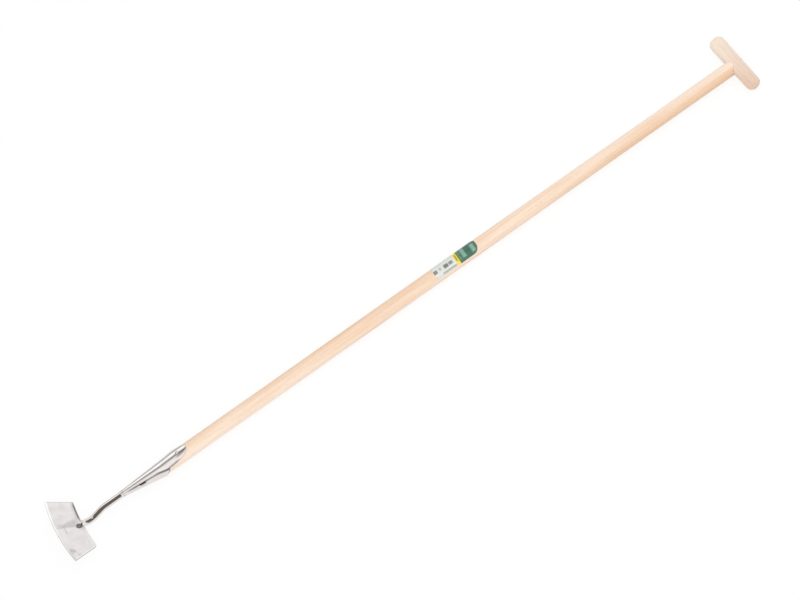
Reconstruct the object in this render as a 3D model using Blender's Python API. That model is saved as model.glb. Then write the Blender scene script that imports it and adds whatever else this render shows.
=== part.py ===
"""Dutch hoe: a push hoe with a trapezoid blade, a round neck, a rolled socket and a wooden T handle.

Lengths are in metres and angles in radians. The tool is drawn along its shaft: +X runs from the blade
to the grip, and +Z is the side of the tongue and the label. X is 0 at the narrow end of the socket, and
Y and Z are 0 on the axis of the shaft. At the end the finished tool is laid down on its socket and its
grip, with the origin under the middle of its box.
"""

import math

import bmesh
import bpy
from mathutils import Vector

for leftover in list(bpy.data.objects):
    bpy.data.objects.remove(leftover, do_unlink=True)

# Driving dimensions

CLEARANCE = 0.0003                          # between pieces that touch

SHAFT_DIAMETER = 0.0300
SHAFT_TOP_DIAMETER = 0.0273                 # where it meets the grip
SHAFT_LENGTH = 1.322                        # from its lower end to the axis of the grip
TAPER_START = 0.567                         # from the lower end to where the shaft begins to thin
TAPER_LENGTH = 0.620
TENON_DIAMETER = 0.0180

GRIP_LENGTH = 0.1295
GRIP_FAR_DIAMETER = 0.0308                  # at its +Y end
GRIP_NEAR_DIAMETER = 0.0276                 # at its -Y end
GRIP_END_RADIUS = 0.0095                    # rounding of both ends
GRIP_OFFSET = 0.0036                        # its middle lies this far to +Y of the shaft's axis

WEDGE_LENGTH = 0.020
WEDGE_WIDTH = 0.0160
WEDGE_THICK_END = 0.0028
WEDGE_THIN_END = 0.0008

SHEET = 0.0016                              # thickness of the socket's steel
SOCKET_CONE_LENGTH = 0.078                  # from the narrow end to where the underside is level
SOCKET_ROUND_START = 0.115                  # from the narrow end to where the wood is full size
SOCKET_TOP_FLAT = 0.0015                    # how much smaller the wood's radius is at the cone's end
SOCKET_LENGTH = 0.0825                      # from the narrow end to the plain rim
SHAFT_SET_BACK = 0.051                      # from the narrow end to the lower end of the wood
TONGUE_HALF_ANGLE = math.radians(59)        # angles round the socket are from +Z towards -Y
TONGUE_SHOULDER = 0.0157                    # from the plain rim to the root of the tongue
SHOULDER_ANGLE = math.radians(35)           # over which the rim rises to that root
TONGUE_LENGTH = 0.0445
SEAM_ANGLE = math.radians(42)
SEAM_GAP = 0.0006
SEAM_FLARE_START = 0.070                    # from the narrow end to where the tongue's side flares
NOTCH_DEPTH = 0.0055                        # of the V between tongue and panel, below the plain rim
LOBE_ANGLE = math.radians(75)               # the panel's rounded corner beside the notch
LOBE_END_ANGLE = math.radians(110)
LOBE_HEIGHT = 0.0100
SLOT_START = 0.0320                         # the open stretch of the seam
SLOT_LENGTH = 0.0140
SLOT_WIDTH = 0.0020
NAIL_FROM_RIM = 0.0395                      # from the plain rim to the nail
NAIL_HOLE_DIAMETER = 0.0058                 # in the tongue
NAIL_HEAD_DIAMETER = 0.0042
NAIL_HEAD_HEIGHT = 0.0013
NAIL_SHANK_DIAMETER = 0.0026
NAIL_LENGTH = 0.0120

NECK_DIAMETER = 0.0125
NECK_SPIGOT_DIAMETER = 0.0100               # the thinner end inside the socket
NECK_SPIGOT_LENGTH = 0.012
NECK_HEIGHT = 0.0070                        # of its straight part above the shaft's axis
NECK_REACH = 0.0974                         # from the socket to the middle of the blade's back edge
NECK_DESCENT = math.radians(22)
NECK_UPPER_BEND = 0.028                     # radii on the bar's axis
NECK_LOWER_BEND = 0.020
NECK_RUN = 0.0030                           # straight stretch behind the blade
NECK_LAP = 0.0042                           # straight stretch on the blade
NECK_SEAT_FLAT = 0.0028                     # depth of the flat where it lies on the blade
SOCKET_BEAD_LENGTH = 0.0032

BLADE_WIDTH = 0.1400                        # across the cutting edge
BLADE_BACK_WIDTH = 0.1055
BLADE_DEPTH = 0.0538                        # at the middle
BLADE_THICKNESS = 0.0025
BLADE_PITCH = math.radians(38)              # between blade and shaft
BLADE_DROP = 0.0022                         # of its back edge below the shaft's axis
EDGE_SWEEP = 0.0076                         # the cutting edge's ends lie this far behind its middle
BACK_SWEEP = 0.0038                         # and the back edge's ends behind its own
BLADE_BACK_CORNER = 0.0028
BLADE_FRONT_CORNER = 0.0015
GRIND_LENGTH = 0.0040                       # width of the ground bevel
EDGE_THICKNESS = 0.0006
EDGE_EASING = 0.0003                        # of the other edges
NECK_BEAD_DIAMETER = 0.0102
NECK_BEAD_HEIGHT = 0.0022
NECK_BEAD_OFFSET = 0.0010                   # to -Y of the blade's middle
NECK_BEAD_CUT = 0.66                        # share of its radius kept on the neck's side

LABEL_PLACE = 0.645                         # from the shaft's lower end to the label
LABEL_LENGTH = 0.0950
LABEL_HALF_ANGLE = math.radians(63)
LABEL_THICKNESS = 0.0003
LABEL_LOW_CORNER = 0.0055
LABEL_HIGH_CORNER = 0.0140

# Values that follow from them

SHAFT_RADIUS = SHAFT_DIAMETER / 2
SHAFT_TOP_RADIUS = SHAFT_TOP_DIAMETER / 2
TENON_RADIUS = TENON_DIAMETER / 2
SPIGOT_RADIUS = NECK_SPIGOT_DIAMETER / 2
NECK_RADIUS = NECK_DIAMETER / 2
GRIP_X = SHAFT_SET_BACK + SHAFT_LENGTH
MOUTH_BORE = SHAFT_RADIUS + CLEARANCE       # inner radius of the socket on the full shaft
NARROW_BORE = SPIGOT_RADIUS + CLEARANCE     # and on the neck's spigot
TONGUE_ROOT = SOCKET_LENGTH + TONGUE_SHOULDER
NAIL_X = SOCKET_LENGTH + NAIL_FROM_RIM
NARROW_OUTER = NARROW_BORE + SHEET

FORWARD = Vector((-math.cos(BLADE_PITCH), 0, math.sin(BLADE_PITCH)))
BLADE_UP = Vector((math.sin(BLADE_PITCH), 0, math.cos(BLADE_PITCH)))
ACROSS = Vector((0, 1, 0))
BLADE_BACK = Vector((-NECK_REACH, 0, -BLADE_DROP))
SEAT_HEIGHT = BLADE_THICKNESS / 2 + CLEARANCE

ROUND_SIDES = 40
BAR_SIDES = 24

tool = bpy.data.objects.new("dutch_hoe", None)
bpy.context.collection.objects.link(tool)


# Materials


def linear(channel):
    """Give the linear value of one 8-bit sRGB channel."""
    value = channel / 255
    if value <= 0.04045:
        return value / 12.92
    return ((value + 0.055) / 1.055) ** 2.4


def make_material(name, rgb, roughness, metallic):
    """Make a Principled material from an 8-bit sRGB colour."""
    material = bpy.data.materials.new(name)
    material.use_nodes = True
    shader = material.node_tree.nodes["Principled BSDF"]
    shader.inputs["Base Color"].default_value = (*(linear(channel) for channel in rgb), 1)
    shader.inputs["Roughness"].default_value = roughness
    shader.inputs["Metallic"].default_value = metallic
    return material


BLADE_STEEL = make_material("blade steel", (214, 210, 210), 0.38, 1.0)
BRIGHT_STEEL = make_material("bright steel", (205, 201, 200), 0.22, 1.0)
SOCKET_STEEL = make_material("socket steel", (208, 204, 203), 0.28, 1.0)
DARK_WELD = make_material("dark weld", (92, 84, 80), 0.55, 1.0)
BRIGHT_WELD = make_material("bright weld", (196, 190, 186), 0.40, 1.0)
NAIL_METAL = make_material("nail metal", (150, 138, 108), 0.40, 1.0)
ASH = make_material("ash wood", (238, 212, 184), 0.60, 0.0)
GRIP_ASH = make_material("grip ash wood", (236, 214, 192), 0.62, 0.0)
WEDGE_WOOD = make_material("wedge wood", (196, 158, 118), 0.65, 0.0)
PAPER = make_material("label paper", (208, 216, 206), 0.45, 0.0)


# Mesh helpers


def add_piece(name, vertices, faces, material, sharp_angle=math.radians(32)):
    """Make one closed, smooth shaded piece of the tool from its vertices and faces."""
    mesh = bpy.data.meshes.new(name)
    mesh.from_pydata([tuple(vertex) for vertex in vertices], [], faces)
    shape = bmesh.new()
    shape.from_mesh(mesh)
    bmesh.ops.recalc_face_normals(shape, faces=shape.faces)
    shape.to_mesh(mesh)
    shape.free()
    mesh.shade_smooth()
    mesh.set_sharp_from_angle(angle=sharp_angle)
    mesh.materials.append(material)
    piece = bpy.data.objects.new(name, mesh)
    piece.parent = tool
    bpy.context.collection.objects.link(piece)
    return piece


def cut_with(piece, cutter):
    """Cut a hidden solid out of a piece."""
    cutter.hide_render = True
    cutter.display_type = "WIRE"
    boolean = piece.modifiers.new(cutter.name, "BOOLEAN")
    boolean.operation = "DIFFERENCE"
    boolean.solver = "EXACT"
    boolean.object = cutter


def loft(rings):
    """Join rings of equal length into a closed body with flat end caps."""
    count = len(rings[0])
    vertices = [point for ring in rings for point in ring]
    faces = [tuple(range(count))]
    for row in range(len(rings) - 1):
        low = row * count
        high = low + count
        for side in range(count):
            beside = (side + 1) % count
            faces.append((low + side, low + beside, high + beside, high + side))
    last = (len(rings) - 1) * count
    faces.append(tuple(reversed(range(last, last + count))))
    return vertices, faces


def ring_around_x(x, centre_z, radius, sides):
    """Give a circle across the shaft's direction."""
    points = []
    for side in range(sides):
        angle = 2 * math.pi * side / sides
        points.append(Vector((x, -radius * math.sin(angle), centre_z + radius * math.cos(angle))))
    return points


def lathe(profile, origin, axis, sides):
    """Turn (distance along the axis, radius) pairs round an axis through the origin."""
    axis = axis.normalized()
    first = axis.orthogonal().normalized()
    second = axis.cross(first)
    rings = []
    for distance, radius in profile:
        ring = []
        for side in range(sides):
            angle = 2 * math.pi * side / sides
            spoke = first * math.cos(angle) + second * math.sin(angle)
            ring.append(origin + axis * distance + spoke * radius)
        rings.append(ring)
    return loft(rings)


def sheet_shell(outer, inner):
    """Close two equal grids of points, the two faces of a sheet, into one body."""
    rows = len(outer)
    columns = len(outer[0])
    vertices = [point for row in outer for point in row] + [point for row in inner for point in row]
    offset = rows * columns
    faces = []
    for row in range(rows - 1):
        for column in range(columns - 1):
            corner = row * columns + column
            face = (corner, corner + 1, corner + columns + 1, corner + columns)
            faces.append(face)
            faces.append(tuple(offset + index for index in reversed(face)))
    border = [column for column in range(columns)]
    border += [row * columns + columns - 1 for row in range(1, rows)]
    border += [(rows - 1) * columns + column for column in range(columns - 2, -1, -1)]
    border += [row * columns for row in range(rows - 2, 0, -1)]
    for index, start in enumerate(border):
        end = border[(index + 1) % len(border)]
        faces.append((end, start, offset + start, offset + end))
    return vertices, faces


def smooth_step(value):
    """Ease a share from 0 to 1."""
    value = min(max(value, 0.0), 1.0)
    return value * value * (3 - 2 * value)


# Shapes that several pieces share


def bore_section(x):
    """Give the height of the socket's inner section and its radius at a distance along the shaft."""
    level_radius = MOUTH_BORE - SOCKET_TOP_FLAT
    if x <= SOCKET_CONE_LENGTH:
        share = max(x, 0.0) / SOCKET_CONE_LENGTH
        height = NECK_HEIGHT + (-SOCKET_TOP_FLAT - NECK_HEIGHT) * share
        return height, NARROW_BORE + (level_radius - NARROW_BORE) * share
    if x < SOCKET_ROUND_START:
        share = (x - SOCKET_CONE_LENGTH) / (SOCKET_ROUND_START - SOCKET_CONE_LENGTH)
        return -SOCKET_TOP_FLAT * (1 - share), level_radius + SOCKET_TOP_FLAT * share
    return 0.0, MOUTH_BORE


def shaft_radius_at(x):
    """Give the radius of the shaft beyond its socket."""
    share = (x - SHAFT_SET_BACK - TAPER_START) / TAPER_LENGTH
    return SHAFT_RADIUS + (SHAFT_TOP_RADIUS - SHAFT_RADIUS) * min(max(share, 0.0), 1.0)


def grip_radius_at(y):
    """Give the radius of the grip at a distance across the shaft."""
    share = (y - GRIP_OFFSET) / GRIP_LENGTH + 0.5
    return (GRIP_NEAR_DIAMETER + (GRIP_FAR_DIAMETER - GRIP_NEAR_DIAMETER) * share) / 2


def grip_surface_x(y, z, side, grow):
    """Give X on the grip's surface, grown by a margin, on its shaft side (-1) or its outer side (+1)."""
    radius = grip_radius_at(y) + grow
    return GRIP_X + side * math.sqrt(radius * radius - z * z)


def blade_point(forward, across, height):
    """Turn a place on the blade into a point of the tool."""
    return BLADE_BACK + FORWARD * forward + ACROSS * across + BLADE_UP * height


def nail_frame():
    """Give the direction of the nail and the point where its head lies on the wood."""
    outward = Vector((0, 0, 1))
    return outward, Vector((NAIL_X, 0, SHAFT_RADIUS + CLEARANCE))


# Blade


def blade_outline():
    """Give the blade's outline as (forward, across, kind) from the middle of its back edge."""
    half_front = BLADE_WIDTH / 2
    half_back = BLADE_BACK_WIDTH / 2
    front_corner = Vector((BLADE_DEPTH - EDGE_SWEEP, half_front))
    back_corner = Vector((-BACK_SWEEP, half_back))
    side = (back_corner - front_corner).normalized()
    edge_steps = 20
    back_steps = 14
    outline = []

    def round_corner(corner, before, after, radius, kind):
        """Add a rounded corner between two directions that leave it."""
        half_turn = before.angle(after) / 2
        reach = radius / math.tan(half_turn)
        start = corner + before * reach
        end = corner + after * reach
        for step in range(4):
            share = step / 3
            low = start.lerp(corner, share)
            high = corner.lerp(end, share)
            point = low.lerp(high, share)
            outline.append((point.x, point.y, kind))

    edge_slope = Vector((2 * EDGE_SWEEP / half_front, -1)).normalized()
    back_slope = Vector((2 * BACK_SWEEP / half_back, -1)).normalized()
    round_corner(front_corner, edge_slope, side, BLADE_FRONT_CORNER, "side")
    round_corner(back_corner, -side, back_slope, BLADE_BACK_CORNER, "side")
    for step in range(1, back_steps):
        share = 1 - 2 * step / back_steps
        outline.append((-BACK_SWEEP * share * share, half_back * share, "side"))
    mirrored = [(forward, -across, kind) for forward, across, kind in outline[:8]]
    outline += reversed(mirrored)
    for step in range(1, edge_steps):
        share = -1 + 2 * step / edge_steps
        outline.append((BLADE_DEPTH - EDGE_SWEEP * share * share, half_front * share, "edge"))
    return outline


def build_blade():
    """Build the flat blade with the bevel ground on the top of its cutting edge."""
    bottom = []
    waist = []
    top = []
    for forward, across, kind in blade_outline():
        low = -BLADE_THICKNESS / 2
        high = BLADE_THICKNESS / 2
        bottom.append(blade_point(forward, across, low))
        if kind == "edge":
            waist.append(blade_point(forward, across, low + EDGE_THICKNESS))
            top.append(blade_point(forward - GRIND_LENGTH, across, high))
            continue
        at_front = smooth_step((forward - (BLADE_DEPTH - EDGE_SWEEP - 2 * GRIND_LENGTH)) / GRIND_LENGTH)
        inset = EDGE_EASING + (GRIND_LENGTH - EDGE_EASING) * at_front
        drop = EDGE_EASING + (BLADE_THICKNESS - EDGE_THICKNESS - EDGE_EASING) * at_front
        inward_across = across - math.copysign(EDGE_EASING, across)
        waist.append(blade_point(forward, across, high - drop))
        if forward > 0:
            top.append(blade_point(forward - inset * at_front, inward_across, high))
        else:
            top.append(blade_point(forward + EDGE_EASING, inward_across, high))
    vertices, faces = loft([bottom, waist, top])
    return add_piece("blade", vertices, faces, BLADE_STEEL, math.radians(12))


# Neck and its welds


def neck_path():
    """Give the neck's axis from the blade to the socket, as (point, heading) pairs."""
    height = SEAT_HEIGHT + NECK_RADIUS - NECK_SEAT_FLAT
    path = [(blade_point(NECK_LAP, 0, height), -BLADE_PITCH)]
    point = blade_point(-NECK_RUN, 0, height)
    path.append((point, -BLADE_PITCH))

    def bend(start, heading, turned, radius, steps):
        """Follow an arc of the path and return its end."""
        side = math.copysign(radius, turned - heading)
        for step in range(1, steps + 1):
            angle = heading + (turned - heading) * step / steps
            along = side * (math.sin(angle) - math.sin(heading))
            rise = side * (math.cos(heading) - math.cos(angle))
            path.append((start + Vector((along, 0, rise)), angle))
        return path[-1][0]

    point = bend(point, -BLADE_PITCH, NECK_DESCENT, NECK_LOWER_BEND, 12)
    upper_rise = NECK_UPPER_BEND * (1 - math.cos(NECK_DESCENT))
    slope_length = (NECK_HEIGHT - upper_rise - point.z) / math.sin(NECK_DESCENT)
    point = point + Vector((math.cos(NECK_DESCENT), 0, math.sin(NECK_DESCENT))) * slope_length
    path.append((point, NECK_DESCENT))
    bend(point, NECK_DESCENT, 0.0, NECK_UPPER_BEND, 5)
    path.append((Vector((-CLEARANCE, 0, NECK_HEIGHT)), 0.0))
    return path


def neck_ring(centre, heading, radius):
    """Give a circle across the neck's axis, flattened where it lies on the blade."""
    upward = Vector((-math.sin(heading), 0, math.cos(heading)))
    ring = []
    for side in range(BAR_SIDES):
        angle = 2 * math.pi * side / BAR_SIDES
        point = centre + ACROSS * (radius * math.cos(angle)) + upward * (radius * math.sin(angle))
        height = (point - BLADE_BACK).dot(BLADE_UP)
        on_seat = heading == -BLADE_PITCH
        if on_seat and height < SEAT_HEIGHT:
            point = point + BLADE_UP * (SEAT_HEIGHT - height)
        ring.append(point)
    return ring


def build_neck():
    """Build the bent bar with its thinner end inside the socket."""
    rings = [neck_ring(centre, heading, NECK_RADIUS) for centre, heading in neck_path()]
    rings.append(neck_ring(Vector((-CLEARANCE, 0, NECK_HEIGHT)), 0.0, SPIGOT_RADIUS))
    end_height = bore_section(NECK_SPIGOT_LENGTH)[0]
    rings.append(neck_ring(Vector((NECK_SPIGOT_LENGTH, 0, end_height)), 0.0, SPIGOT_RADIUS))
    vertices, faces = loft(rings)
    return add_piece("neck", vertices, faces, BRIGHT_STEEL)


def build_neck_weld_bead():
    """Build the low dome of weld on the blade that holds the neck's end."""
    radius = NECK_BEAD_DIAMETER / 2
    start = NECK_LAP + CLEARANCE
    middle = start + NECK_BEAD_CUT * radius
    first_turn = math.acos(-NECK_BEAD_CUT)
    last_turn = math.radians(10)
    rows = 9
    columns = 14
    rings = []
    for row in range(rows):
        turn = first_turn + (last_turn - first_turn) * row / (rows - 1)
        ring = []
        for column in range(columns + 1):
            angle = math.pi * column / columns
            across = radius * math.sin(turn) * math.cos(angle) - NECK_BEAD_OFFSET
            height = SEAT_HEIGHT + NECK_BEAD_HEIGHT * math.sin(turn) * math.sin(angle)
            ring.append(blade_point(middle + radius * math.cos(turn), across, height))
        rings.append(ring)
    vertices, faces = loft(rings)
    return add_piece("neck_weld_bead", vertices, faces, DARK_WELD, math.radians(50))


def build_socket_weld_bead():
    """Build the ring of weld between the neck and the narrow end of the socket."""
    inner = NECK_RADIUS + CLEARANCE
    outer = max(NARROW_OUTER, inner + CLEARANCE)
    section = [(-CLEARANCE, inner), (-CLEARANCE, outer)]
    steps = 4
    for step in range(1, steps):
        angle = math.pi / 2 * step / steps
        back = CLEARANCE + SOCKET_BEAD_LENGTH * step / steps
        section.append((-back, inner + (outer - inner) * math.cos(angle)))
    section.append((-CLEARANCE - SOCKET_BEAD_LENGTH, inner))
    vertices = []
    for distance, radius in section:
        vertices += ring_around_x(distance, NECK_HEIGHT, radius, BAR_SIDES)
    faces = []
    for row in range(len(section)):
        low = row * BAR_SIDES
        high = (row + 1) % len(section) * BAR_SIDES
        for side in range(BAR_SIDES):
            beside = (side + 1) % BAR_SIDES
            faces.append((low + side, low + beside, high + beside, high + side))
    return add_piece("socket_weld_bead", vertices, faces, BRIGHT_WELD)


# Socket


def tongue_edge_angle(x):
    """Give the angle of the sheet's edge on the tongue's side of the seam."""
    share = smooth_step((x - SEAM_FLARE_START) / (TONGUE_ROOT - SEAM_FLARE_START))
    return SEAM_ANGLE + (TONGUE_HALF_ANGLE - SEAM_ANGLE) * share


def panel_edge_angle(x):
    """Give the angle of the sheet's edge on the other side of the seam."""
    gap = SEAM_GAP
    from_middle = abs(x - SLOT_START - SLOT_LENGTH / 2) / (SLOT_LENGTH / 2)
    if from_middle < 1:
        gap += SLOT_WIDTH * math.sqrt(1 - from_middle ** 4)
    return SEAM_ANGLE + gap / bore_section(x)[1]


def rim_columns():
    """Give the socket's rim as (angle, X) pairs, round from the panel's edge to the tongue's edge."""
    start = panel_edge_angle(SOCKET_LENGTH)
    tongue_start = 2 * math.pi - TONGUE_HALF_ANGLE
    foot = tongue_start - SHOULDER_ANGLE
    columns = []
    for step in range(5):
        share = step / 5
        angle = start + (LOBE_ANGLE - start) * share
        rise = math.sin(share * math.pi / 2)
        columns.append((angle, SOCKET_LENGTH - NOTCH_DEPTH + (NOTCH_DEPTH + LOBE_HEIGHT) * rise))
    for step in range(5):
        share = step / 5
        angle = LOBE_ANGLE + (LOBE_END_ANGLE - LOBE_ANGLE) * share
        columns.append((angle, SOCKET_LENGTH + LOBE_HEIGHT * (1 - smooth_step(share))))
    for step in range(12):
        columns.append((LOBE_END_ANGLE + (foot - LOBE_END_ANGLE) * step / 12, SOCKET_LENGTH))
    for step in range(5):
        share = step / 5
        angle = foot + (tongue_start - foot) * share
        columns.append((angle, SOCKET_LENGTH + TONGUE_SHOULDER * share ** 3))
    for step in range(17):
        sweep = math.pi * (step / 16 - 0.5)
        angle = 2 * math.pi + TONGUE_HALF_ANGLE * math.sin(sweep)
        columns.append((angle, TONGUE_ROOT + TONGUE_LENGTH * math.cos(sweep)))
    return columns


def build_socket():
    """Build the rolled sheet socket with its seam, slot, tongue and nail hole."""
    columns = rim_columns()
    first_angle, first_x = columns[0]
    last_angle, last_x = columns[-1]
    rows = 26
    outer = []
    inner = []
    for row in range(rows + 1):
        share = row / rows
        low = panel_edge_angle(first_x * share)
        high = 2 * math.pi + tongue_edge_angle(last_x * share)
        outer_row = []
        inner_row = []
        for rim_angle, rim_x in columns:
            round_share = (rim_angle - first_angle) / (last_angle - first_angle)
            angle = low + (high - low) * round_share
            x = rim_x * share
            height, bore = bore_section(x)
            spoke = Vector((0, -math.sin(angle), math.cos(angle)))
            centre = Vector((x, 0, height))
            outer_row.append(centre + spoke * (bore + SHEET))
            inner_row.append(centre + spoke * bore)
        outer.append(outer_row)
        inner.append(inner_row)
    vertices, faces = sheet_shell(outer, inner)
    socket = add_piece("socket", vertices, faces, SOCKET_STEEL)
    outward, seat = nail_frame()
    radius = NAIL_HOLE_DIAMETER / 2
    vertices, faces = lathe([(-SHEET, radius), (3 * SHEET, radius)], seat, outward, 20)
    cut_with(socket, add_piece("tongue_hole_cutter", vertices, faces, SOCKET_STEEL))
    return socket


def build_socket_nail():
    """Build the nail whose head lies on the wood inside the tongue's hole."""
    outward, seat = nail_frame()
    head = NAIL_HEAD_DIAMETER / 2
    shank = NAIL_SHANK_DIAMETER / 2
    profile = [
        (-NAIL_LENGTH, shank / 5),
        (-NAIL_LENGTH + 2 * shank, shank),
        (0, shank),
        (0, head),
        (NAIL_HEAD_HEIGHT * 0.45, head),
        (NAIL_HEAD_HEIGHT * 0.85, head * 0.75),
        (NAIL_HEAD_HEIGHT, head * 0.30),
    ]
    vertices, faces = lathe(profile, seat, outward, 16)
    return add_piece("socket_nail", vertices, faces, NAIL_METAL)


# Wooden pieces


def coped_ring(radius, side, grow):
    """Give the line where a cylinder round the shaft's axis meets the grip's surface."""
    ring = []
    for point in ring_around_x(0, 0, radius, ROUND_SIDES):
        ring.append(Vector((grip_surface_x(point.y, point.z, side, grow), point.y, point.z)))
    return ring


def build_shaft():
    """Build the shaft with its end in the socket, its coped shoulder and its tenon."""
    shoulder = GRIP_X - grip_radius_at(0)
    stations = [SHAFT_SET_BACK, SOCKET_CONE_LENGTH, SOCKET_ROUND_START]
    stations += [SHAFT_SET_BACK + TAPER_START, SHAFT_SET_BACK + TAPER_START + TAPER_LENGTH]
    rings = []
    for x in sorted(stations):
        if not SHAFT_SET_BACK <= x < shoulder:
            continue
        height, bore = bore_section(x)
        radius = bore - CLEARANCE
        if x > SOCKET_ROUND_START:
            radius = shaft_radius_at(x)
        rings.append(ring_around_x(x, height, radius, ROUND_SIDES))
    end_radius = shaft_radius_at(shoulder)
    shoulder_steps = 6
    for step in range(shoulder_steps + 1):
        radius = end_radius + (TENON_RADIUS - end_radius) * step / shoulder_steps
        rings.append(coped_ring(radius, -1, CLEARANCE))
    for share in (1.0, 0.8, 0.55, 0.25):
        rings.append(coped_ring(TENON_RADIUS * share, 1, -CLEARANCE))
    vertices, faces = loft(rings)
    shaft = add_piece("shaft", vertices, faces, ASH)

    outward, seat = nail_frame()
    radius = NAIL_SHANK_DIAMETER / 2 + CLEARANCE
    vertices, faces = lathe([(-NAIL_LENGTH - CLEARANCE, radius), (3 * SHEET, radius)], seat, outward, 16)
    cut_with(shaft, add_piece("nail_hole_cutter", vertices, faces, ASH))

    end = GRIP_X + grip_radius_at(0)
    slope = (WEDGE_THICK_END - WEDGE_THIN_END) / 2 / WEDGE_LENGTH
    low_x = end - WEDGE_LENGTH - 2 * CLEARANCE
    high_x = end + WEDGE_LENGTH / 10
    low_half = WEDGE_THIN_END / 2 + CLEARANCE
    high_half = low_half + slope * (high_x - low_x)
    rings = []
    for z in (-2 * TENON_RADIUS, 2 * TENON_RADIUS):
        corners = [(low_x, -low_half), (high_x, -high_half), (high_x, high_half), (low_x, low_half)]
        rings.append([Vector((x, y, z)) for x, y in corners])
    vertices, faces = loft(rings)
    cut_with(shaft, add_piece("kerf_cutter", vertices, faces, ASH))
    return shaft


def build_grip_wedge():
    """Build the wedge that spreads the tenon, its outer end level with the grip."""
    end = GRIP_X + grip_radius_at(0)
    rings = []
    steps = 8
    for step in range(steps + 1):
        z = WEDGE_WIDTH * (step / steps - 0.5)
        low_x = end - WEDGE_LENGTH
        high_x = grip_surface_x(0, z, 1, -CLEARANCE)
        slope = (WEDGE_THICK_END - WEDGE_THIN_END) / 2 / WEDGE_LENGTH
        low_half = WEDGE_THIN_END / 2
        high_half = low_half + slope * (high_x - low_x)
        corners = [(low_x, -low_half), (high_x, -high_half), (high_x, high_half), (low_x, low_half)]
        rings.append([Vector((x, y, z)) for x, y in corners])
    vertices, faces = loft(rings)
    return add_piece("grip_wedge", vertices, faces, WEDGE_WOOD)


def build_grip():
    """Build the turned cross piece with the hole for the tenon."""
    near = GRIP_OFFSET - GRIP_LENGTH / 2
    far = GRIP_OFFSET + GRIP_LENGTH / 2
    near_end = []
    far_end = []
    steps = 5
    for step in range(steps + 1):
        angle = math.pi / 2 * step / steps
        inset = GRIP_END_RADIUS * (1 - math.sin(angle))
        drop = GRIP_END_RADIUS * (1 - math.cos(angle))
        near_end.append((near + inset, grip_radius_at(near + inset) - drop))
        far_end.append((far - inset, grip_radius_at(far - inset) - drop))
    middle = [(GRIP_OFFSET, grip_radius_at(GRIP_OFFSET))]
    profile = near_end[::-1] + middle + far_end
    centre = Vector((GRIP_X, 0, 0))
    vertices, faces = lathe(profile, centre, ACROSS, ROUND_SIDES)
    grip = add_piece("grip", vertices, faces, GRIP_ASH)
    bore = TENON_RADIUS + CLEARANCE
    reach = 2 * grip_radius_at(0)
    vertices, faces = lathe([(-reach, bore), (reach, bore)], centre, Vector((1, 0, 0)), ROUND_SIDES)
    cut_with(grip, add_piece("tenon_bore_cutter", vertices, faces, GRIP_ASH))
    return grip


def build_label():
    """Build the paper label round the upper side of the shaft."""
    start = SHAFT_SET_BACK + LABEL_PLACE
    half_width = LABEL_HALF_ANGLE * SHAFT_RADIUS
    distances = []
    for step in range(5):
        distances.append(LABEL_LOW_CORNER * (1 - math.cos(math.pi / 2 * step / 4)))
    for step in range(7):
        angle = math.pi / 2 * step / 6
        distances.append(LABEL_LENGTH - LABEL_HIGH_CORNER * (1 - math.sin(angle)))
    outer = []
    inner = []
    columns = 14
    for distance in distances:
        pulled_in = 0.0
        to_end = LABEL_LENGTH - distance
        for corner, from_end in ((LABEL_LOW_CORNER, distance), (LABEL_HIGH_CORNER, to_end)):
            if from_end < corner:
                pulled_in = corner - math.sqrt(max(corner ** 2 - (corner - from_end) ** 2, 0.0))
        x = start + distance
        under = shaft_radius_at(x) + CLEARANCE
        half_angle = (half_width - pulled_in) / SHAFT_RADIUS
        outer_row = []
        inner_row = []
        for column in range(columns + 1):
            angle = half_angle * (2 * column / columns - 1)
            spoke = Vector((0, -math.sin(angle), math.cos(angle)))
            centre = Vector((x, 0, 0))
            outer_row.append(centre + spoke * (under + LABEL_THICKNESS))
            inner_row.append(centre + spoke * under)
        outer.append(outer_row)
        inner.append(inner_row)
    vertices, faces = sheet_shell(outer, inner)
    return add_piece("label", vertices, faces, PAPER)


# The tool lying on the floor


def lay_down(pieces):
    """Rest the tool on its socket and its grip, with the origin under the middle of its box."""
    socket_bottom = MOUTH_BORE + SHEET
    grip_bottom = (GRIP_NEAR_DIAMETER + GRIP_FAR_DIAMETER) / 4
    span = GRIP_X - SOCKET_LENGTH
    tool.rotation_euler.x = math.atan((GRIP_FAR_DIAMETER - GRIP_NEAR_DIAMETER) / 2 / GRIP_LENGTH)
    tool.rotation_euler.y = math.atan((socket_bottom - grip_bottom) / span)
    bpy.context.view_layer.update()
    graph = bpy.context.evaluated_depsgraph_get()
    corners = []
    for piece in pieces:
        evaluated = piece.evaluated_get(graph)
        mesh = evaluated.to_mesh()
        corners += [evaluated.matrix_world @ vertex.co for vertex in mesh.vertices]
        evaluated.to_mesh_clear()
    middle_x = (min(point.x for point in corners) + max(point.x for point in corners)) / 2
    middle_y = (min(point.y for point in corners) + max(point.y for point in corners)) / 2
    tool.location = (-middle_x, -middle_y, -min(point.z for point in corners))


lay_down([
    build_blade(),
    build_neck(),
    build_neck_weld_bead(),
    build_socket_weld_bead(),
    build_socket(),
    build_socket_nail(),
    build_shaft(),
    build_grip(),
    build_grip_wedge(),
    build_label(),
])
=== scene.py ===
"""Looks of a dutch hoe that lies on a pale floor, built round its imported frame.

Lengths are in metres and angles in radians. The pieces are drawn along the shaft: X runs from the blade
to the grip, Z is the side of the tongue and the label, X is 0 at the narrow end of the socket, and Y and
Z are 0 on the axis of the shaft. ToolPose lays them down in the frame.
"""

import logging
import math
from collections.abc import Sequence
from dataclasses import dataclass
from enum import Enum, IntEnum
from typing import NamedTuple

import bmesh
import bpy
from mathutils import Euler, Matrix, Vector


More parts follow.
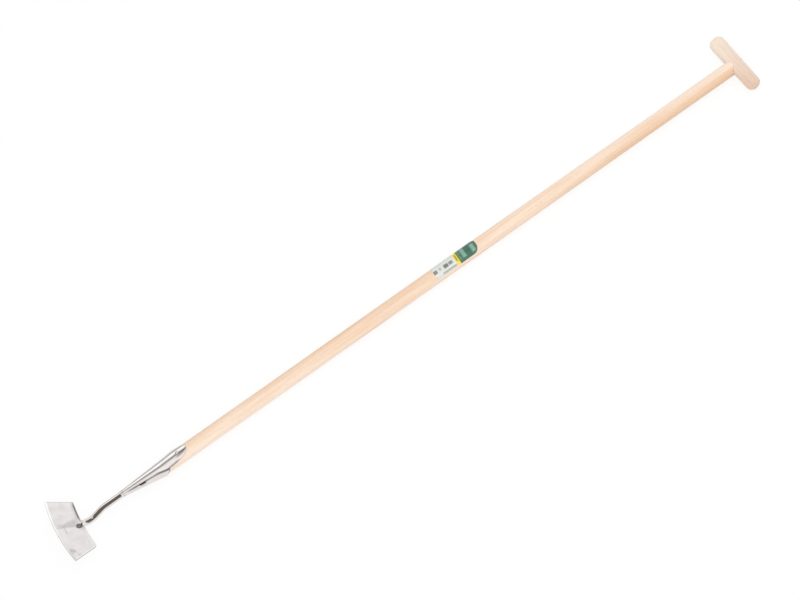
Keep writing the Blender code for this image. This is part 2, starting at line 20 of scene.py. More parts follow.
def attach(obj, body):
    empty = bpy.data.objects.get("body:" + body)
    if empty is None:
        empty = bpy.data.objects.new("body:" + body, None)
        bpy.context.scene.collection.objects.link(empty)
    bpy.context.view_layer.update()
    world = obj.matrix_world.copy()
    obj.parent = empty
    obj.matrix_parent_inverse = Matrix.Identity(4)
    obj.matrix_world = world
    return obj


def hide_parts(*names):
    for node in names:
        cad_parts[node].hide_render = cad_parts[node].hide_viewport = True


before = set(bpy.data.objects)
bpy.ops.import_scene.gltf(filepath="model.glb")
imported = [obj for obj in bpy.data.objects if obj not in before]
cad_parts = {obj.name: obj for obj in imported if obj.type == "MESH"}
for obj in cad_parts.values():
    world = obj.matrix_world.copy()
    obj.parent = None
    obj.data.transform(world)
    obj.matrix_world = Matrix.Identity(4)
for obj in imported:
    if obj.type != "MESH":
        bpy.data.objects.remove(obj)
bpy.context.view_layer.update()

BODY = "root"
EDGE_SHADE_SHARE = "painted_edge_shade"
SHARP_ANGLE = math.radians(38)
MERGE_DISTANCE = 1e-7

log = logging.getLogger("dutch_hoe")

Colour = tuple[int, int, int]
Rgb = tuple[float, float, float]
Wire = bpy.types.NodeSocket
Value = Wire | float | Rgb
Place = tuple[Wire, Wire, Wire]
Grid = list[list[tuple[Vector, Vector]]]
Faces = list[tuple[int, ...]]
Body = tuple[list[Vector], Faces]


# Small sums


def linear(rgb: Colour) -> Rgb:
    """Turn an 8-bit sRGB colour into linear light.

    Args:
        rgb: the three channels, 0 to 255.

    Returns:
        The three linear channels, 0 to 1.
    """
    channels = []
    for channel in rgb:
        value = channel / 255
        channels.append(value / 12.92 if value <= 0.04045 else ((value + 0.055) / 1.055) ** 2.4)
    return channels[0], channels[1], channels[2]


def smooth_step(value: float) -> float:
    """Ease a share from 0 to 1."""
    value = min(max(value, 0.0), 1.0)
    return value * value * (3 - 2 * value)


@dataclass(frozen=True)
class Ease:
    """A share that eases from 0 to 1, and the other way round where its length is negative."""

    start: float
    length: float

    def at(self, place: float) -> float:
        """Give the share at a place."""
        return smooth_step((place - self.start) / self.length)


def edge_inset(distance: float, radius: float) -> float:
    """Give how far a rounded edge lies below its face.

    Args:
        distance: from the edge, along the face.
        radius: of the rounding.

    Returns:
        The depth below the face, from the radius at the edge to 0.
    """
    if distance >= radius:
        return 0.0
    share = 1 - max(distance, 0.0) / radius
    return radius * (1 - math.sqrt(max(1 - share * share, 0.0)))


def ripple(x: float, y: float, z: float, pitch: float) -> float:
    """Give a soft, seedless unevenness between about -1 and 1 at a place.

    Args:
        x: the place.
        y: the place.
        z: the place.
        pitch: the length of its largest waves.

    Returns:
        The unevenness.
    """
    k = 2 * math.pi / pitch
    first = math.sin(k * (x + 0.37 * y)) * math.cos(k * (0.81 * y - 0.52 * z))
    second = math.sin(k * 1.9 * (0.62 * z + 0.41 * x) + 1.3) * math.cos(k * 2.3 * (0.55 * y + 0.2 * x))
    return 0.6 * first + 0.4 * second


# Meshes


@dataclass(frozen=True)
class ToolPose:
    """How the tool lies in the frame, from its own drawing."""

    place: Vector = Vector((-0.623885, 0.000310, 0.017004))
    roll: float = 0.0123546
    pitch: float = 0.0017823

    @property
    def turn(self) -> Euler:
        """The rotation of the tool."""
        return Euler((self.roll, self.pitch, 0.0))

    @property
    def matrix(self) -> Matrix:
        """The matrix from the drawing to the frame."""
        return Matrix.Translation(self.place) @ self.turn.to_matrix().to_4x4()


POSE = ToolPose()


def link(name: str, data: bpy.types.ID) -> bpy.types.Object:
    """Make an object and link it to the scene.

    Args:
        name: of the object.
        data: its mesh, lamp or camera.

    Returns:
        The new object.
    """
    thing = bpy.data.objects.new(name, data)
    bpy.context.scene.collection.objects.link(thing)
    return thing


def make_object(name: str, vertices: Sequence[Vector], faces: Faces) -> bpy.types.Object:
    """Make a smooth shaded object in the frame from points in the drawing.

    Args:
        name: of the object and its mesh.
        vertices: in the drawing.
        faces: of indices into the vertices.

    Returns:
        The new object, linked to the scene.
    """
    mesh = bpy.data.meshes.new(name)
    mesh.from_pydata([tuple(POSE.matrix @ vertex) for vertex in vertices], [], faces)
    shape = bmesh.new()
    shape.from_mesh(mesh)
    bmesh.ops.remove_doubles(shape, verts=shape.verts, dist=MERGE_DISTANCE)
    bmesh.ops.dissolve_degenerate(shape, edges=shape.edges, dist=MERGE_DISTANCE)
    bmesh.ops.recalc_face_normals(shape, faces=shape.faces)
    shape.to_mesh(mesh)
    shape.free()
    mesh.shade_smooth()
    mesh.set_sharp_from_angle(angle=SHARP_ANGLE)
    return link(name, mesh)


def loft(rings: Sequence[Sequence[Vector]], closed: bool = False) -> Body:
    """Join rings of equal length into a body.

    Args:
        rings: from one end to the other.
        closed: whether the last ring joins the first, and no flat caps close the ends.

    Returns:
        Its vertices and faces.
    """
    count = len(rings[0])
    vertices = [point for ring in rings for point in ring]
    faces: Faces = [] if closed else [tuple(range(count))]
    for row in range(len(rings) if closed else len(rings) - 1):
        low = row * count
        high = (row + 1) % len(rings) * count
        for side in range(count):
            beside = (side + 1) % count
            faces.append((low + side, low + beside, high + beside, high + side))
    if not closed:
        last = len(vertices) - count
        faces.append(tuple(reversed(range(last, last + count))))
    return vertices, faces


def grid_faces(rows: int, columns: int) -> Faces:
    """Join a grid of points into faces.

    Args:
        rows: how many rows it has.
        columns: how many points are in a row.

    Returns:
        The faces.
    """
    corners = [row * columns + column for row in range(rows - 1) for column in range(columns - 1)]
    return [(corner, corner + 1, corner + columns + 1, corner + columns) for corner in corners]


def sheet_body(grid: Grid) -> Body:
    """Close a grid of pairs of points, one on each face of a sheet, into one body.

    Args:
        grid: rows of (outer point, inner point) pairs.

    Returns:
        Its vertices and faces.
    """
    rows = len(grid)
    columns = len(grid[0])
    vertices = [pair[face] for face in (0, 1) for row in grid for pair in row]
    offset = rows * columns
    faces: Faces = []
    for face in grid_faces(rows, columns):
        faces.append(face)
        faces.append(tuple(offset + index for index in reversed(face)))
    border = list(range(columns))
    border += [row * columns + columns - 1 for row in range(1, rows)]
    border += [(rows - 1) * columns + column for column in range(columns - 2, -1, -1)]
    border += [row * columns for row in range(rows - 2, 0, -1)]
    for index, start in enumerate(border):
        end = border[(index + 1) % len(border)]
        faces.append((end, start, offset + start, offset + end))
    return vertices, faces


def ring_around(centre: Vector, radius: float, sides: int) -> list[Vector]:
    """Give a circle across the shaft's direction.

    Args:
        centre: of the circle.
        radius: of the circle.
        sides: how many points it has.

    Returns:
        Its points.
    """
    points = []
    for side in range(sides):
        angle = 2 * math.pi * side / sides
        points.append(centre + Vector((0, -math.sin(angle), math.cos(angle))) * radius)
    return points


def lathe(profile: Sequence[tuple[float, float]], origin: Vector, axis: Vector, sides: int) -> Body:
    """Turn a profile round an axis.

    Args:
        profile: (distance along the axis, radius) pairs.
        origin: a point on the axis.
        axis: its direction.
        sides: how many sides the body has.

    Returns:
        Its vertices and faces.
    """
    axis = axis.normalized()
    first = axis.orthogonal().normalized()
    second = axis.cross(first)
    rings = []
    for distance, radius in profile:
        ring = []
        for side in range(sides):
            angle = 2 * math.pi * side / sides
            spoke = first * math.cos(angle) + second * math.sin(angle)
            ring.append(origin + axis * distance + spoke * radius)
        rings.append(ring)
    return loft(rings)


def cut_out(piece: bpy.types.Object, cutter: bpy.types.Object) -> None:
    """Cut one object out of another for good, and delete the cutter.

    Args:
        piece: what is cut.
        cutter: what it is cut with.
    """
    boolean = piece.modifiers.new("cut", "BOOLEAN")
    boolean.operation = "DIFFERENCE"
    boolean.solver = "EXACT"
    boolean.object = cutter
    bpy.context.view_layer.update()
    graph = bpy.context.evaluated_depsgraph_get()
    mesh = bpy.data.meshes.new_from_object(piece.evaluated_get(graph))
    mesh.set_sharp_from_angle(angle=SHARP_ANGLE)
    piece.modifiers.clear()
    piece.data = mesh
    bpy.data.objects.remove(cutter, do_unlink=True)


def stand_in(piece: bpy.types.Object, node: str, material: bpy.types.Material) -> None:
    """Dress a piece, tie it to the frame and report it.

    Args:
        piece: the finished object.
        node: the name of the node that it stands for.
        material: its finish.
    """
    piece.data.materials.clear()
    piece.data.materials.append(material)
    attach(piece, BODY)
    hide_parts(node)
    log.info("%s stands for %s with %d faces", piece.name, node, len(piece.data.polygons))


# Materials


class Sum(Enum):
    """The sums that a material does."""

    ADD = "ADD"
    SUBTRACT = "SUBTRACT"
    MULTIPLY = "MULTIPLY"
    DIVIDE = "DIVIDE"
    POWER = "POWER"
    ABSOLUTE = "ABSOLUTE"
    SQUARE_ROOT = "SQRT"
    ANGLE = "ARCTAN2"
    FRACTION = "FRACT"
    LARGER = "MAXIMUM"
    SMALLER = "MINIMUM"


class Noise(NamedTuple):
    """A noise: its waves per metre, how many finer layers it has, and how strong those are."""

    scale: float
    detail: float
    roughness: float


class Span(NamedTuple):
    """A stretch of a value, and what its two ends become."""

    low: float
    high: float
    to_low: float = 0.0
    to_high: float = 1.0


class MixSocket(IntEnum):
    """The colour sockets of Blender's mix node, whose names aren't unique."""

    FACTOR = 0
    FIRST = 6
    SECOND = 7
    RESULT = 2


class Wiring:
    """Fills one node tree and joins its sockets."""

    def __init__(self, tree: bpy.types.NodeTree) -> None:
        """Empty a node tree and get ready to fill it."""
        self.tree = tree
        tree.nodes.clear()

    def add(self, kind: str, **settings: object) -> bpy.types.Node:
        """Add a node.

        Args:
            kind: Blender's name for it.
            settings: its attributes.

        Returns:
            The new node.
        """
        node = self.tree.nodes.new(kind)
        for name, value in settings.items():
            setattr(node, name, value)
        return node

    def feed(self, target: Wire, value: Value) -> None:
        """Join a socket to another, or set it.

        Args:
            target: an input.
            value: an output, or what the input is set to.
        """
        if isinstance(value, bpy.types.NodeSocket):
            self.tree.links.new(value, target)
        elif target.type == "RGBA" and isinstance(value, tuple):
            target.default_value = (*value, 1.0)
        else:
            target.default_value = value

    def sum(self, kind: Sum, first: Value, second: Value = 0.0) -> Wire:
        """Do a sum.

        Args:
            kind: which sum.
            first: its first value.
            second: its second value.

        Returns:
            The result.
        """
        node = self.add("ShaderNodeMath", operation=kind.value)
        self.feed(node.inputs[0], first)
        self.feed(node.inputs[1], second)
        return node.outputs[0]

    def total(self, first: Value, *others: Value) -> Value:
        """Add up values.

        Args:
            first: a value.
            others: the values that are added to it.

        Returns:
            Their sum.
        """
        for value in others:
            first = self.sum(Sum.ADD, first, value)
        return first

    def less(self, value: Value, taken: Value) -> Wire:
        """Take one value from another."""
        return self.sum(Sum.SUBTRACT, value, taken)

    def larger(self, first: Value, second: Value) -> Wire:
        """Give the larger of two values."""
        return self.sum(Sum.LARGER, first, second)

    def scaled(self, value: Value, factor: Value) -> Wire:
        """Multiply a value."""
        return self.sum(Sum.MULTIPLY, value, factor)

    def squared(self, value: Value) -> Wire:
        """Multiply a value by itself."""
        return self.sum(Sum.POWER, value, 2.0)

    def spread(self, value: Value, span: Span, smooth: bool = False) -> Wire:
        """Move a value from one range to another, and keep it there.

        Args:
            value: to be moved.
            span: both ranges.
            smooth: whether it eases in and out.

        Returns:
            The moved value.
        """
        kind = "SMOOTHSTEP" if smooth else "LINEAR"
        node = self.add("ShaderNodeMapRange", interpolation_type=kind)
        self.feed(node.inputs["Value"], value)
        for name, limit in zip(("From Min", "From Max", "To Min", "To Max"), span):
            self.feed(node.inputs[name], limit)
        return node.outputs["Result"]

    def blend(self, factor: Value, first: Value, second: Value) -> Wire:
        """Blend two colours.

        Args:
            factor: 0 for the first, 1 for the second.
            first: a colour.
            second: a colour.

        Returns:
            The blend.
        """
        node = self.add("ShaderNodeMix", data_type="RGBA")
        self.feed(node.inputs[MixSocket.FACTOR], factor)
        self.feed(node.inputs[MixSocket.FIRST], first)
        self.feed(node.inputs[MixSocket.SECOND], second)
        return node.outputs[MixSocket.RESULT]

    def between(self, value: Wire, low: float, high: float, softness: float) -> Wire:
        """Give 1 between two limits and 0 outside them.

        Args:
            value: what is compared.
            low: the low limit.
            high: the high limit.
            softness: width of each border.

        Returns:
            The share.
        """
        off = self.sum(Sum.ABSOLUTE, self.less(value, (low + high) / 2))
        half = (high - low) / 2
        return self.spread(off, Span(half - softness / 2, half + softness / 2, 1.0, 0.0))

    def noise(self, place: Place, kind: Noise, stretch: Rgb | None = None) -> Wire:
        """Give noise between 0 and 1.

        Args:
            place: where it is read.
            kind: how fine and how rough it is.
            stretch: what the place is multiplied by in each direction, if anything.

        Returns:
            The noise.
        """
        if stretch is not None:
            place = tuple(self.scaled(value, factor) for value, factor in zip(place, stretch))
        vector = self.add("ShaderNodeCombineXYZ")
        for target, value in zip(vector.inputs, place):
            self.feed(target, value)
        node = self.add("ShaderNodeTexNoise")
        self.feed(node.inputs["Vector"], vector.outputs[0])
        for name, value in zip(("Scale", "Detail", "Roughness"), kind):
            self.feed(node.inputs[name], value)
        return node.outputs[0]

    def drawing_place(self) -> Place:
        """Give X, Y and Z in the drawing of the tool.

        Returns:
            The three values.
        """
        coordinates = self.add("ShaderNodeTexCoord")
        mapping = self.add("ShaderNodeMapping", vector_type="TEXTURE")
        self.feed(mapping.inputs["Vector"], coordinates.outputs["Object"])
        mapping.inputs["Location"].default_value = POSE.place
        mapping.inputs["Rotation"].default_value = POSE.turn
        split = self.add("ShaderNodeSeparateXYZ")
        self.feed(split.inputs[0], mapping.outputs[0])
        return split.outputs[0], split.outputs[1], split.outputs[2]

    def bump(self, height: Wire, depth: float, strength: float) -> Wire:
        """Give a normal from a height.

        Args:
            height: between 0 and 1.
            depth: what a height of 1 means.
            strength: of the effect.

        Returns:
            The normal.
        """
        node = self.add("ShaderNodeBump")
        node.inputs["Strength"].default_value = strength
        node.inputs["Distance"].default_value = depth
        self.feed(node.inputs["Height"], height)
        return node.outputs[0]

    def shader(self, kind: str, **values: Value) -> Wire:
        """Add a shader.

        Args:
            kind: Blender's name for it.
            values: what its sockets get, by their names with _ for a space.

        Returns:
            The shader.
        """
        node = self.add(kind)
        for name, value in values.items():
            self.feed(node.inputs[name.replace("_", " ")], value)
        return node.outputs[0]

    def choose(self, factor: Value, first: Wire, second: Wire) -> Wire:
        """Choose between two shaders.

        Args:
            factor: 0 for the first, 1 for the second.
            first: a shader.
            second: a shader.

        Returns:
            The chosen shader.
        """
        node = self.add("ShaderNodeMixShader")
        for target, value in zip(node.inputs, (factor, first, second)):
            self.feed(target, value)
        return node.outputs[0]

    def end(self, shader: Wire, kind: str = "ShaderNodeOutputMaterial") -> None:
        """End the tree in a shader."""
        self.feed(self.add(kind).inputs[0], shader)

    def surface(self, **values: Value) -> None:
        """End the tree in a solid surface, from what its shader's sockets get."""
        self.end(self.shader("ShaderNodeBsdfPrincipled", **values))


def start_material(name: str) -> tuple[bpy.types.Material, Wiring]:
    """Make an empty material.

    Args:
        name: of the material.

    Returns:
        The material and the wiring of its nodes.
    """
    material = bpy.data.materials.new(name)
    material.use_nodes = True
    return material, Wiring(material.node_tree)


class Grain(Enum):
    """Which way the grain of the wood runs."""

    ALONG_SHAFT = "shaft"
    ALONG_GRIP = "grip"


@dataclass(frozen=True)
class Fibre:
    """Noise drawn out along the grain, in waves per metre, and the stretch of it that shows."""

    along: float
    across: float
    detail: float
    roughness: float
    shown: Span

    def noise(self, wiring: Wiring, place: Place) -> Wire:
        """Give the noise at a place that is turned to the grain."""
        stretch = (self.along, self.across, self.across)
        return wiring.noise(place, Noise(1.0, self.detail, self.roughness), stretch)


@dataclass(frozen=True)
class WoodFinish:
    """Sanded pale ash: growth rings, long streaks, fine pores, a slow drift of tone and painted shade.
    """

    name: str
    light: Colour
    dark: Colour
    grain: Grain
    pith: tuple[float, float]
    ring_pitch: float = 0.0042
    ring_wander: float = 3.0
    ring_rise: float = 2.6
    ring_drop: Span = Span(0.76, 1.0, 1.0, 0.0)
    ring_share: float = 0.42
    drift: Fibre = Fibre(2.6, 28.0, 3.0, 0.50, Span(0.35, 0.68))
    drift_share: float = 0.55
    streak: Fibre = Fibre(7.0, 260.0, 5.0, 0.62, Span(0.36, 0.70))
    streak_share: float = 0.55
    pore: Fibre = Fibre(110.0, 2200.0, 1.0, 0.40, Span(0.62, 0.74))
    pore_share: float = 0.16
    tone_start: float = -0.30
    # Painted shade: darker towards one side, that side turning along the grain, and darker towards one
    # end.
    painted_side_shade: tuple[float, float] = (0.0, 0.0)
    painted_shade_turn: float = math.radians(32)
    painted_end_shade: float = 0.0
    roughness: Span = Span(0.3, 0.7, 0.47, 0.60)
    streak_height: float = 0.7
    pore_pits: Span = Span(0.60, 0.75)
    bump_depth: float = 0.00012
    bump_strength: float = 0.35

    def rings(self, wiring: Wiring, place: Place, drift: Wire) -> Wire:
        """Give the growth rings round the pith.

        Args:
            wiring: of the material.
            place: along the grain, aside and upward.
            drift: the noise that the rings wander with.

        Returns:
            The share of the dark part of a ring.
        """
        aside = wiring.squared(wiring.less(place[1], self.pith[0]))
        upward = wiring.squared(wiring.less(place[2], self.pith[1]))
        reach = wiring.sum(Sum.SQUARE_ROOT, wiring.total(aside, upward))
        wander = wiring.scaled(wiring.less(drift, 0.5), self.ring_wander * self.ring_pitch)
        turns = wiring.sum(Sum.DIVIDE, wiring.total(reach, wander), self.ring_pitch)
        share = wiring.sum(Sum.FRACTION, turns)
        rise = wiring.sum(Sum.POWER, share, self.ring_rise)
        return wiring.scaled(rise, wiring.spread(share, self.ring_drop))

    def tone(self, wiring: Wiring, place: Place, drift: Wire, streak: Wire) -> Wire:
        """Give how dark the wood is, with painted shade on one side and towards one end.

        Args:
            wiring: of the material.
            place: along the grain, aside and upward.
            drift: the noise of the slow drift.
            streak: the noise of the streaks.

        Returns:
            0 for the light colour, 1 for the dark one.
        """
        along, aside, upward = place
        # Painted shade: one side of the wood darker, the darker side changing along the grain, and one
        # end darker.
        side = wiring.total(
            wiring.scaled(aside, math.cos(self.painted_shade_turn)),
            wiring.scaled(upward, math.sin(self.painted_shade_turn)),
        )
        tone = wiring.total(
            wiring.scaled(self.rings(wiring, place, drift), self.ring_share),
            wiring.scaled(wiring.spread(streak, self.streak.shown), self.streak_share),
            wiring.scaled(wiring.spread(drift, self.drift.shown), self.drift_share),
            wiring.scaled(side, self.painted_side_shade[0]),
            wiring.scaled(wiring.scaled(side, along), self.painted_side_shade[1]),
            wiring.scaled(along, self.painted_end_shade),
            self.tone_start,
        )
        return wiring.spread(tone, Span(0.0, 1.0))

    def build(self) -> bpy.types.Material:
        """Make the material.

        Returns:
            The material.
        """
        material, wiring = start_material(self.name)
        x, y, z = wiring.drawing_place()
        place = (x, y, z) if self.grain is Grain.ALONG_SHAFT else (y, x, z)
        drift = self.drift.noise(wiring, place)
        streak = self.streak.noise(wiring, place)
        pore = self.pore.noise(wiring, place)
        tone = self.tone(wiring, place, drift, streak)
        colour = wiring.blend(tone, linear(self.light), linear(self.dark))
        pores = wiring.scaled(wiring.spread(pore, self.pore.shown), self.pore_share)
        dim = wiring.add("ShaderNodeHueSaturation")
        wiring.feed(dim.inputs["Color"], colour)
        wiring.feed(dim.inputs["Value"], wiring.less(1.0, pores))
        pits = wiring.spread(pore, self.pore_pits)
        height = wiring.less(wiring.scaled(streak, self.streak_height), pits)
        wiring.surface(
            Base_Color=dim.outputs[0],
            Roughness=wiring.spread(streak, self.roughness),
            Normal=wiring.bump(height, self.bump_depth, self.bump_strength),
        )
        return material


class Brush(Enum):
    """Which axis of the drawing a metal surface is brushed along."""

    ALONG_SHAFT = 0
    ACROSS = 1
    NONE = None


@dataclass(frozen=True)
class SmudgeAndReflectionPatch:
    """A soft oval patch: smudges on the blade, in their own directions; a painted dark reflection on the
    socket, along X and Y.
    """

    forward: float
    across: float
    length: float
    width: float
    turn: float
    depth: float
    core: float = 0.05

    def share(self, wiring: Wiring, forward: Wire, across: Wire) -> Wire:
        """Give how much of the smudge lies at a place.

        Args:
            wiring: of the material.
            forward: the place along the first direction.
            across: the place along the second.

        Returns:
            The share.
        """
        along = wiring.less(forward, self.forward)
        aside = wiring.less(across, self.across)
        cosine, sine = math.cos(self.turn), math.sin(self.turn)
        lengthwise = wiring.total(wiring.scaled(along, cosine), wiring.scaled(aside, sine))
        sidewise = wiring.total(wiring.scaled(aside, cosine), wiring.scaled(along, -sine))
        reach = wiring.total(
            wiring.squared(wiring.sum(Sum.DIVIDE, lengthwise, self.length / 2)),
            wiring.squared(wiring.sum(Sum.DIVIDE, sidewise, self.width / 2)),
        )
        return wiring.spread(reach, Span(self.core, 1.0, self.depth, 0.0), smooth=True)


@dataclass(frozen=True)
class SteelFinish:
    """Bare steel with brush lines, clouds of tone and, on some pieces, smudges and painted light and
    shade.
    """

    name: str
    colour: Colour
    roughness: float
    brush: Brush
    cloud_share: float
    brush_depth: float = 0.00002
    metallic: float = 1.0
    grit_pitch: float = 0.0006
    brush_length: float = 40.0
    grit: Noise = Noise(1.0, 3.0, 0.6)
    grit_roughness: Span = Span(0.3, 0.7, -0.05, 0.06)
    grit_roughness_at: float = 0.3
    cloud: Noise = Noise(70.0, 4.0, 0.55)
    cloud_tone: Span = Span(0.32, 0.70)
    cloud_depth: float = 2.4
    cloud_roughness: Span = Span(0.35, 0.7, -0.03, 0.05)
    bump_strength: float = 0.5
    smudges_and_reflections: tuple[SmudgeAndReflectionPatch, ...] = ()

    def worn_and_painted_light(self, wiring: Wiring, place: Place, colour: Wire) -> Wire:
        """Lay the finish's own smudges and painted light and shade over its colour, if it has any."""
        return colour

    def shaded(self, share: float) -> Rgb:
        """Give a share of the finish's own colour."""
        red, green, blue = linear(self.colour)
        return red * share, green * share, blue * share

    def build(self) -> bpy.types.Material:
        """Make the material.

        Returns:
            The material.
        """
        material, wiring = start_material(self.name)
        place = wiring.drawing_place()
        fine = 1 / self.grit_pitch
        coarse = fine / self.brush_length
        stretch = tuple(coarse if axis == self.brush.value else fine for axis in range(3))
        lines = wiring.noise(place, self.grit, stretch)
        cloud = wiring.noise(place, self.cloud)
        deep = self.shaded(1 - self.cloud_depth * self.cloud_share)
        colour = wiring.blend(wiring.spread(cloud, self.cloud_tone), linear(self.colour), deep)
        grit = wiring.spread(lines, self.grit_roughness)
        grit = wiring.scaled(grit, self.roughness / self.grit_roughness_at)
        wiring.surface(
            Base_Color=self.worn_and_painted_light(wiring, place, colour),
            Roughness=wiring.total(self.roughness, grit, wiring.spread(cloud, self.cloud_roughness)),
            Normal=wiring.bump(lines, self.brush_depth, self.bump_strength),
            Metallic=self.metallic,
        )
        return material


@dataclass(frozen=True)
class SheetFinish(SteelFinish):
    """Steel of a rolled sheet, with painted shade towards the edges that its mesh tells of."""

    painted_edge_shading: float = 0.74
    shade: float = 0.12

    def worn_and_painted_light(self, wiring: Wiring, place: Place, colour: Wire) -> Wire:
        """Paint shade along the edges of the sheet and lay its painted dark reflections on it.

        Args:
            wiring: of the material.
            place: X, Y and Z in the drawing.
            colour: of the steel.

        Returns:
            The colour with its painted edge shade and painted dark reflections.
        """
        # Painted shade along the seam, the slot and the rims, weaker on the inner face.
        edge = wiring.add("ShaderNodeAttribute", attribute_name=EDGE_SHADE_SHARE)
        share = wiring.scaled(edge.outputs["Fac"], self.painted_edge_shading)
        for mark in self.smudges_and_reflections:
            share = wiring.larger(share, mark.share(wiring, place[0], place[1]))
        return wiring.blend(share, colour, self.shaded(self.shade))


@dataclass(frozen=True)
class BladePlan:
    """The blade's outline and where it lies, which its shape and its finish share."""

    width: float = 0.1400
    back_width: float = 0.1055
    depth: float = 0.0538
    pitch: float = math.radians(38)
    reach: float = 0.0974
    drop: float = 0.0022
    edge_sweep: float = 0.0076
    back_sweep: float = 0.0038

    @property
    def span(self) -> float:
        """Depth of the blade at its sides."""
        return self.depth - self.edge_sweep + self.back_sweep


@dataclass(frozen=True)
class PaintedShadeFan:
    """Painted shade: a soft dark triangle over the blade's dent, from a point near its cutting edge
    towards the neck.
    """

    forward: float = 0.0525
    across: float = 0.0062
    low_side: Span = Span(math.radians(-9) - 0.05, math.radians(-9) + 0.02)
    high_side: Span = Span(math.radians(20), math.radians(9))
    start: Span = Span(0.0, 0.006)
    end: Span = Span(0.050, 0.040)
    depth: float = 0.50

    def share(self, wiring: Wiring, forward: Wire, across: Wire) -> Wire:
        """Give how much of the triangle lies at a place.

        Args:
            wiring: of the material.
            forward: the place on the blade.
            across: the place on the blade.

        Returns:
            The share.
        """
        along = wiring.less(self.forward, forward)
        angle = wiring.sum(Sum.ANGLE, wiring.less(across, self.across), along)
        sides = wiring.scaled(wiring.spread(angle, self.low_side), wiring.spread(angle, self.high_side))
        ends = wiring.scaled(wiring.spread(along, self.start), wiring.spread(along, self.end))
        return wiring.scaled(wiring.scaled(sides, ends), self.depth)


@dataclass(frozen=True)
class EdgeShadeAndHighlight:
    """A painted shade line at a border of the blade and a painted highlight on the ground rim beside it.
    """

    line: float
    rim: float
    rim_softness: float
    line_share: float
    line_softness: float = 0.0003

    def bright(self, wiring: Wiring, distance: Wire) -> Wire:
        """Give the share of the painted highlight on the rim at a distance from the border."""
        return wiring.between(distance, self.line, self.line + self.rim, self.rim_softness)

    def dark(self, wiring: Wiring, distance: Wire) -> Wire:
        """Give the share of the painted shade line at a distance from the border."""
        low, high = self.line - self.line_softness, self.line + self.line_softness
        return wiring.spread(distance, Span(low, high, self.line_share, 0.0))


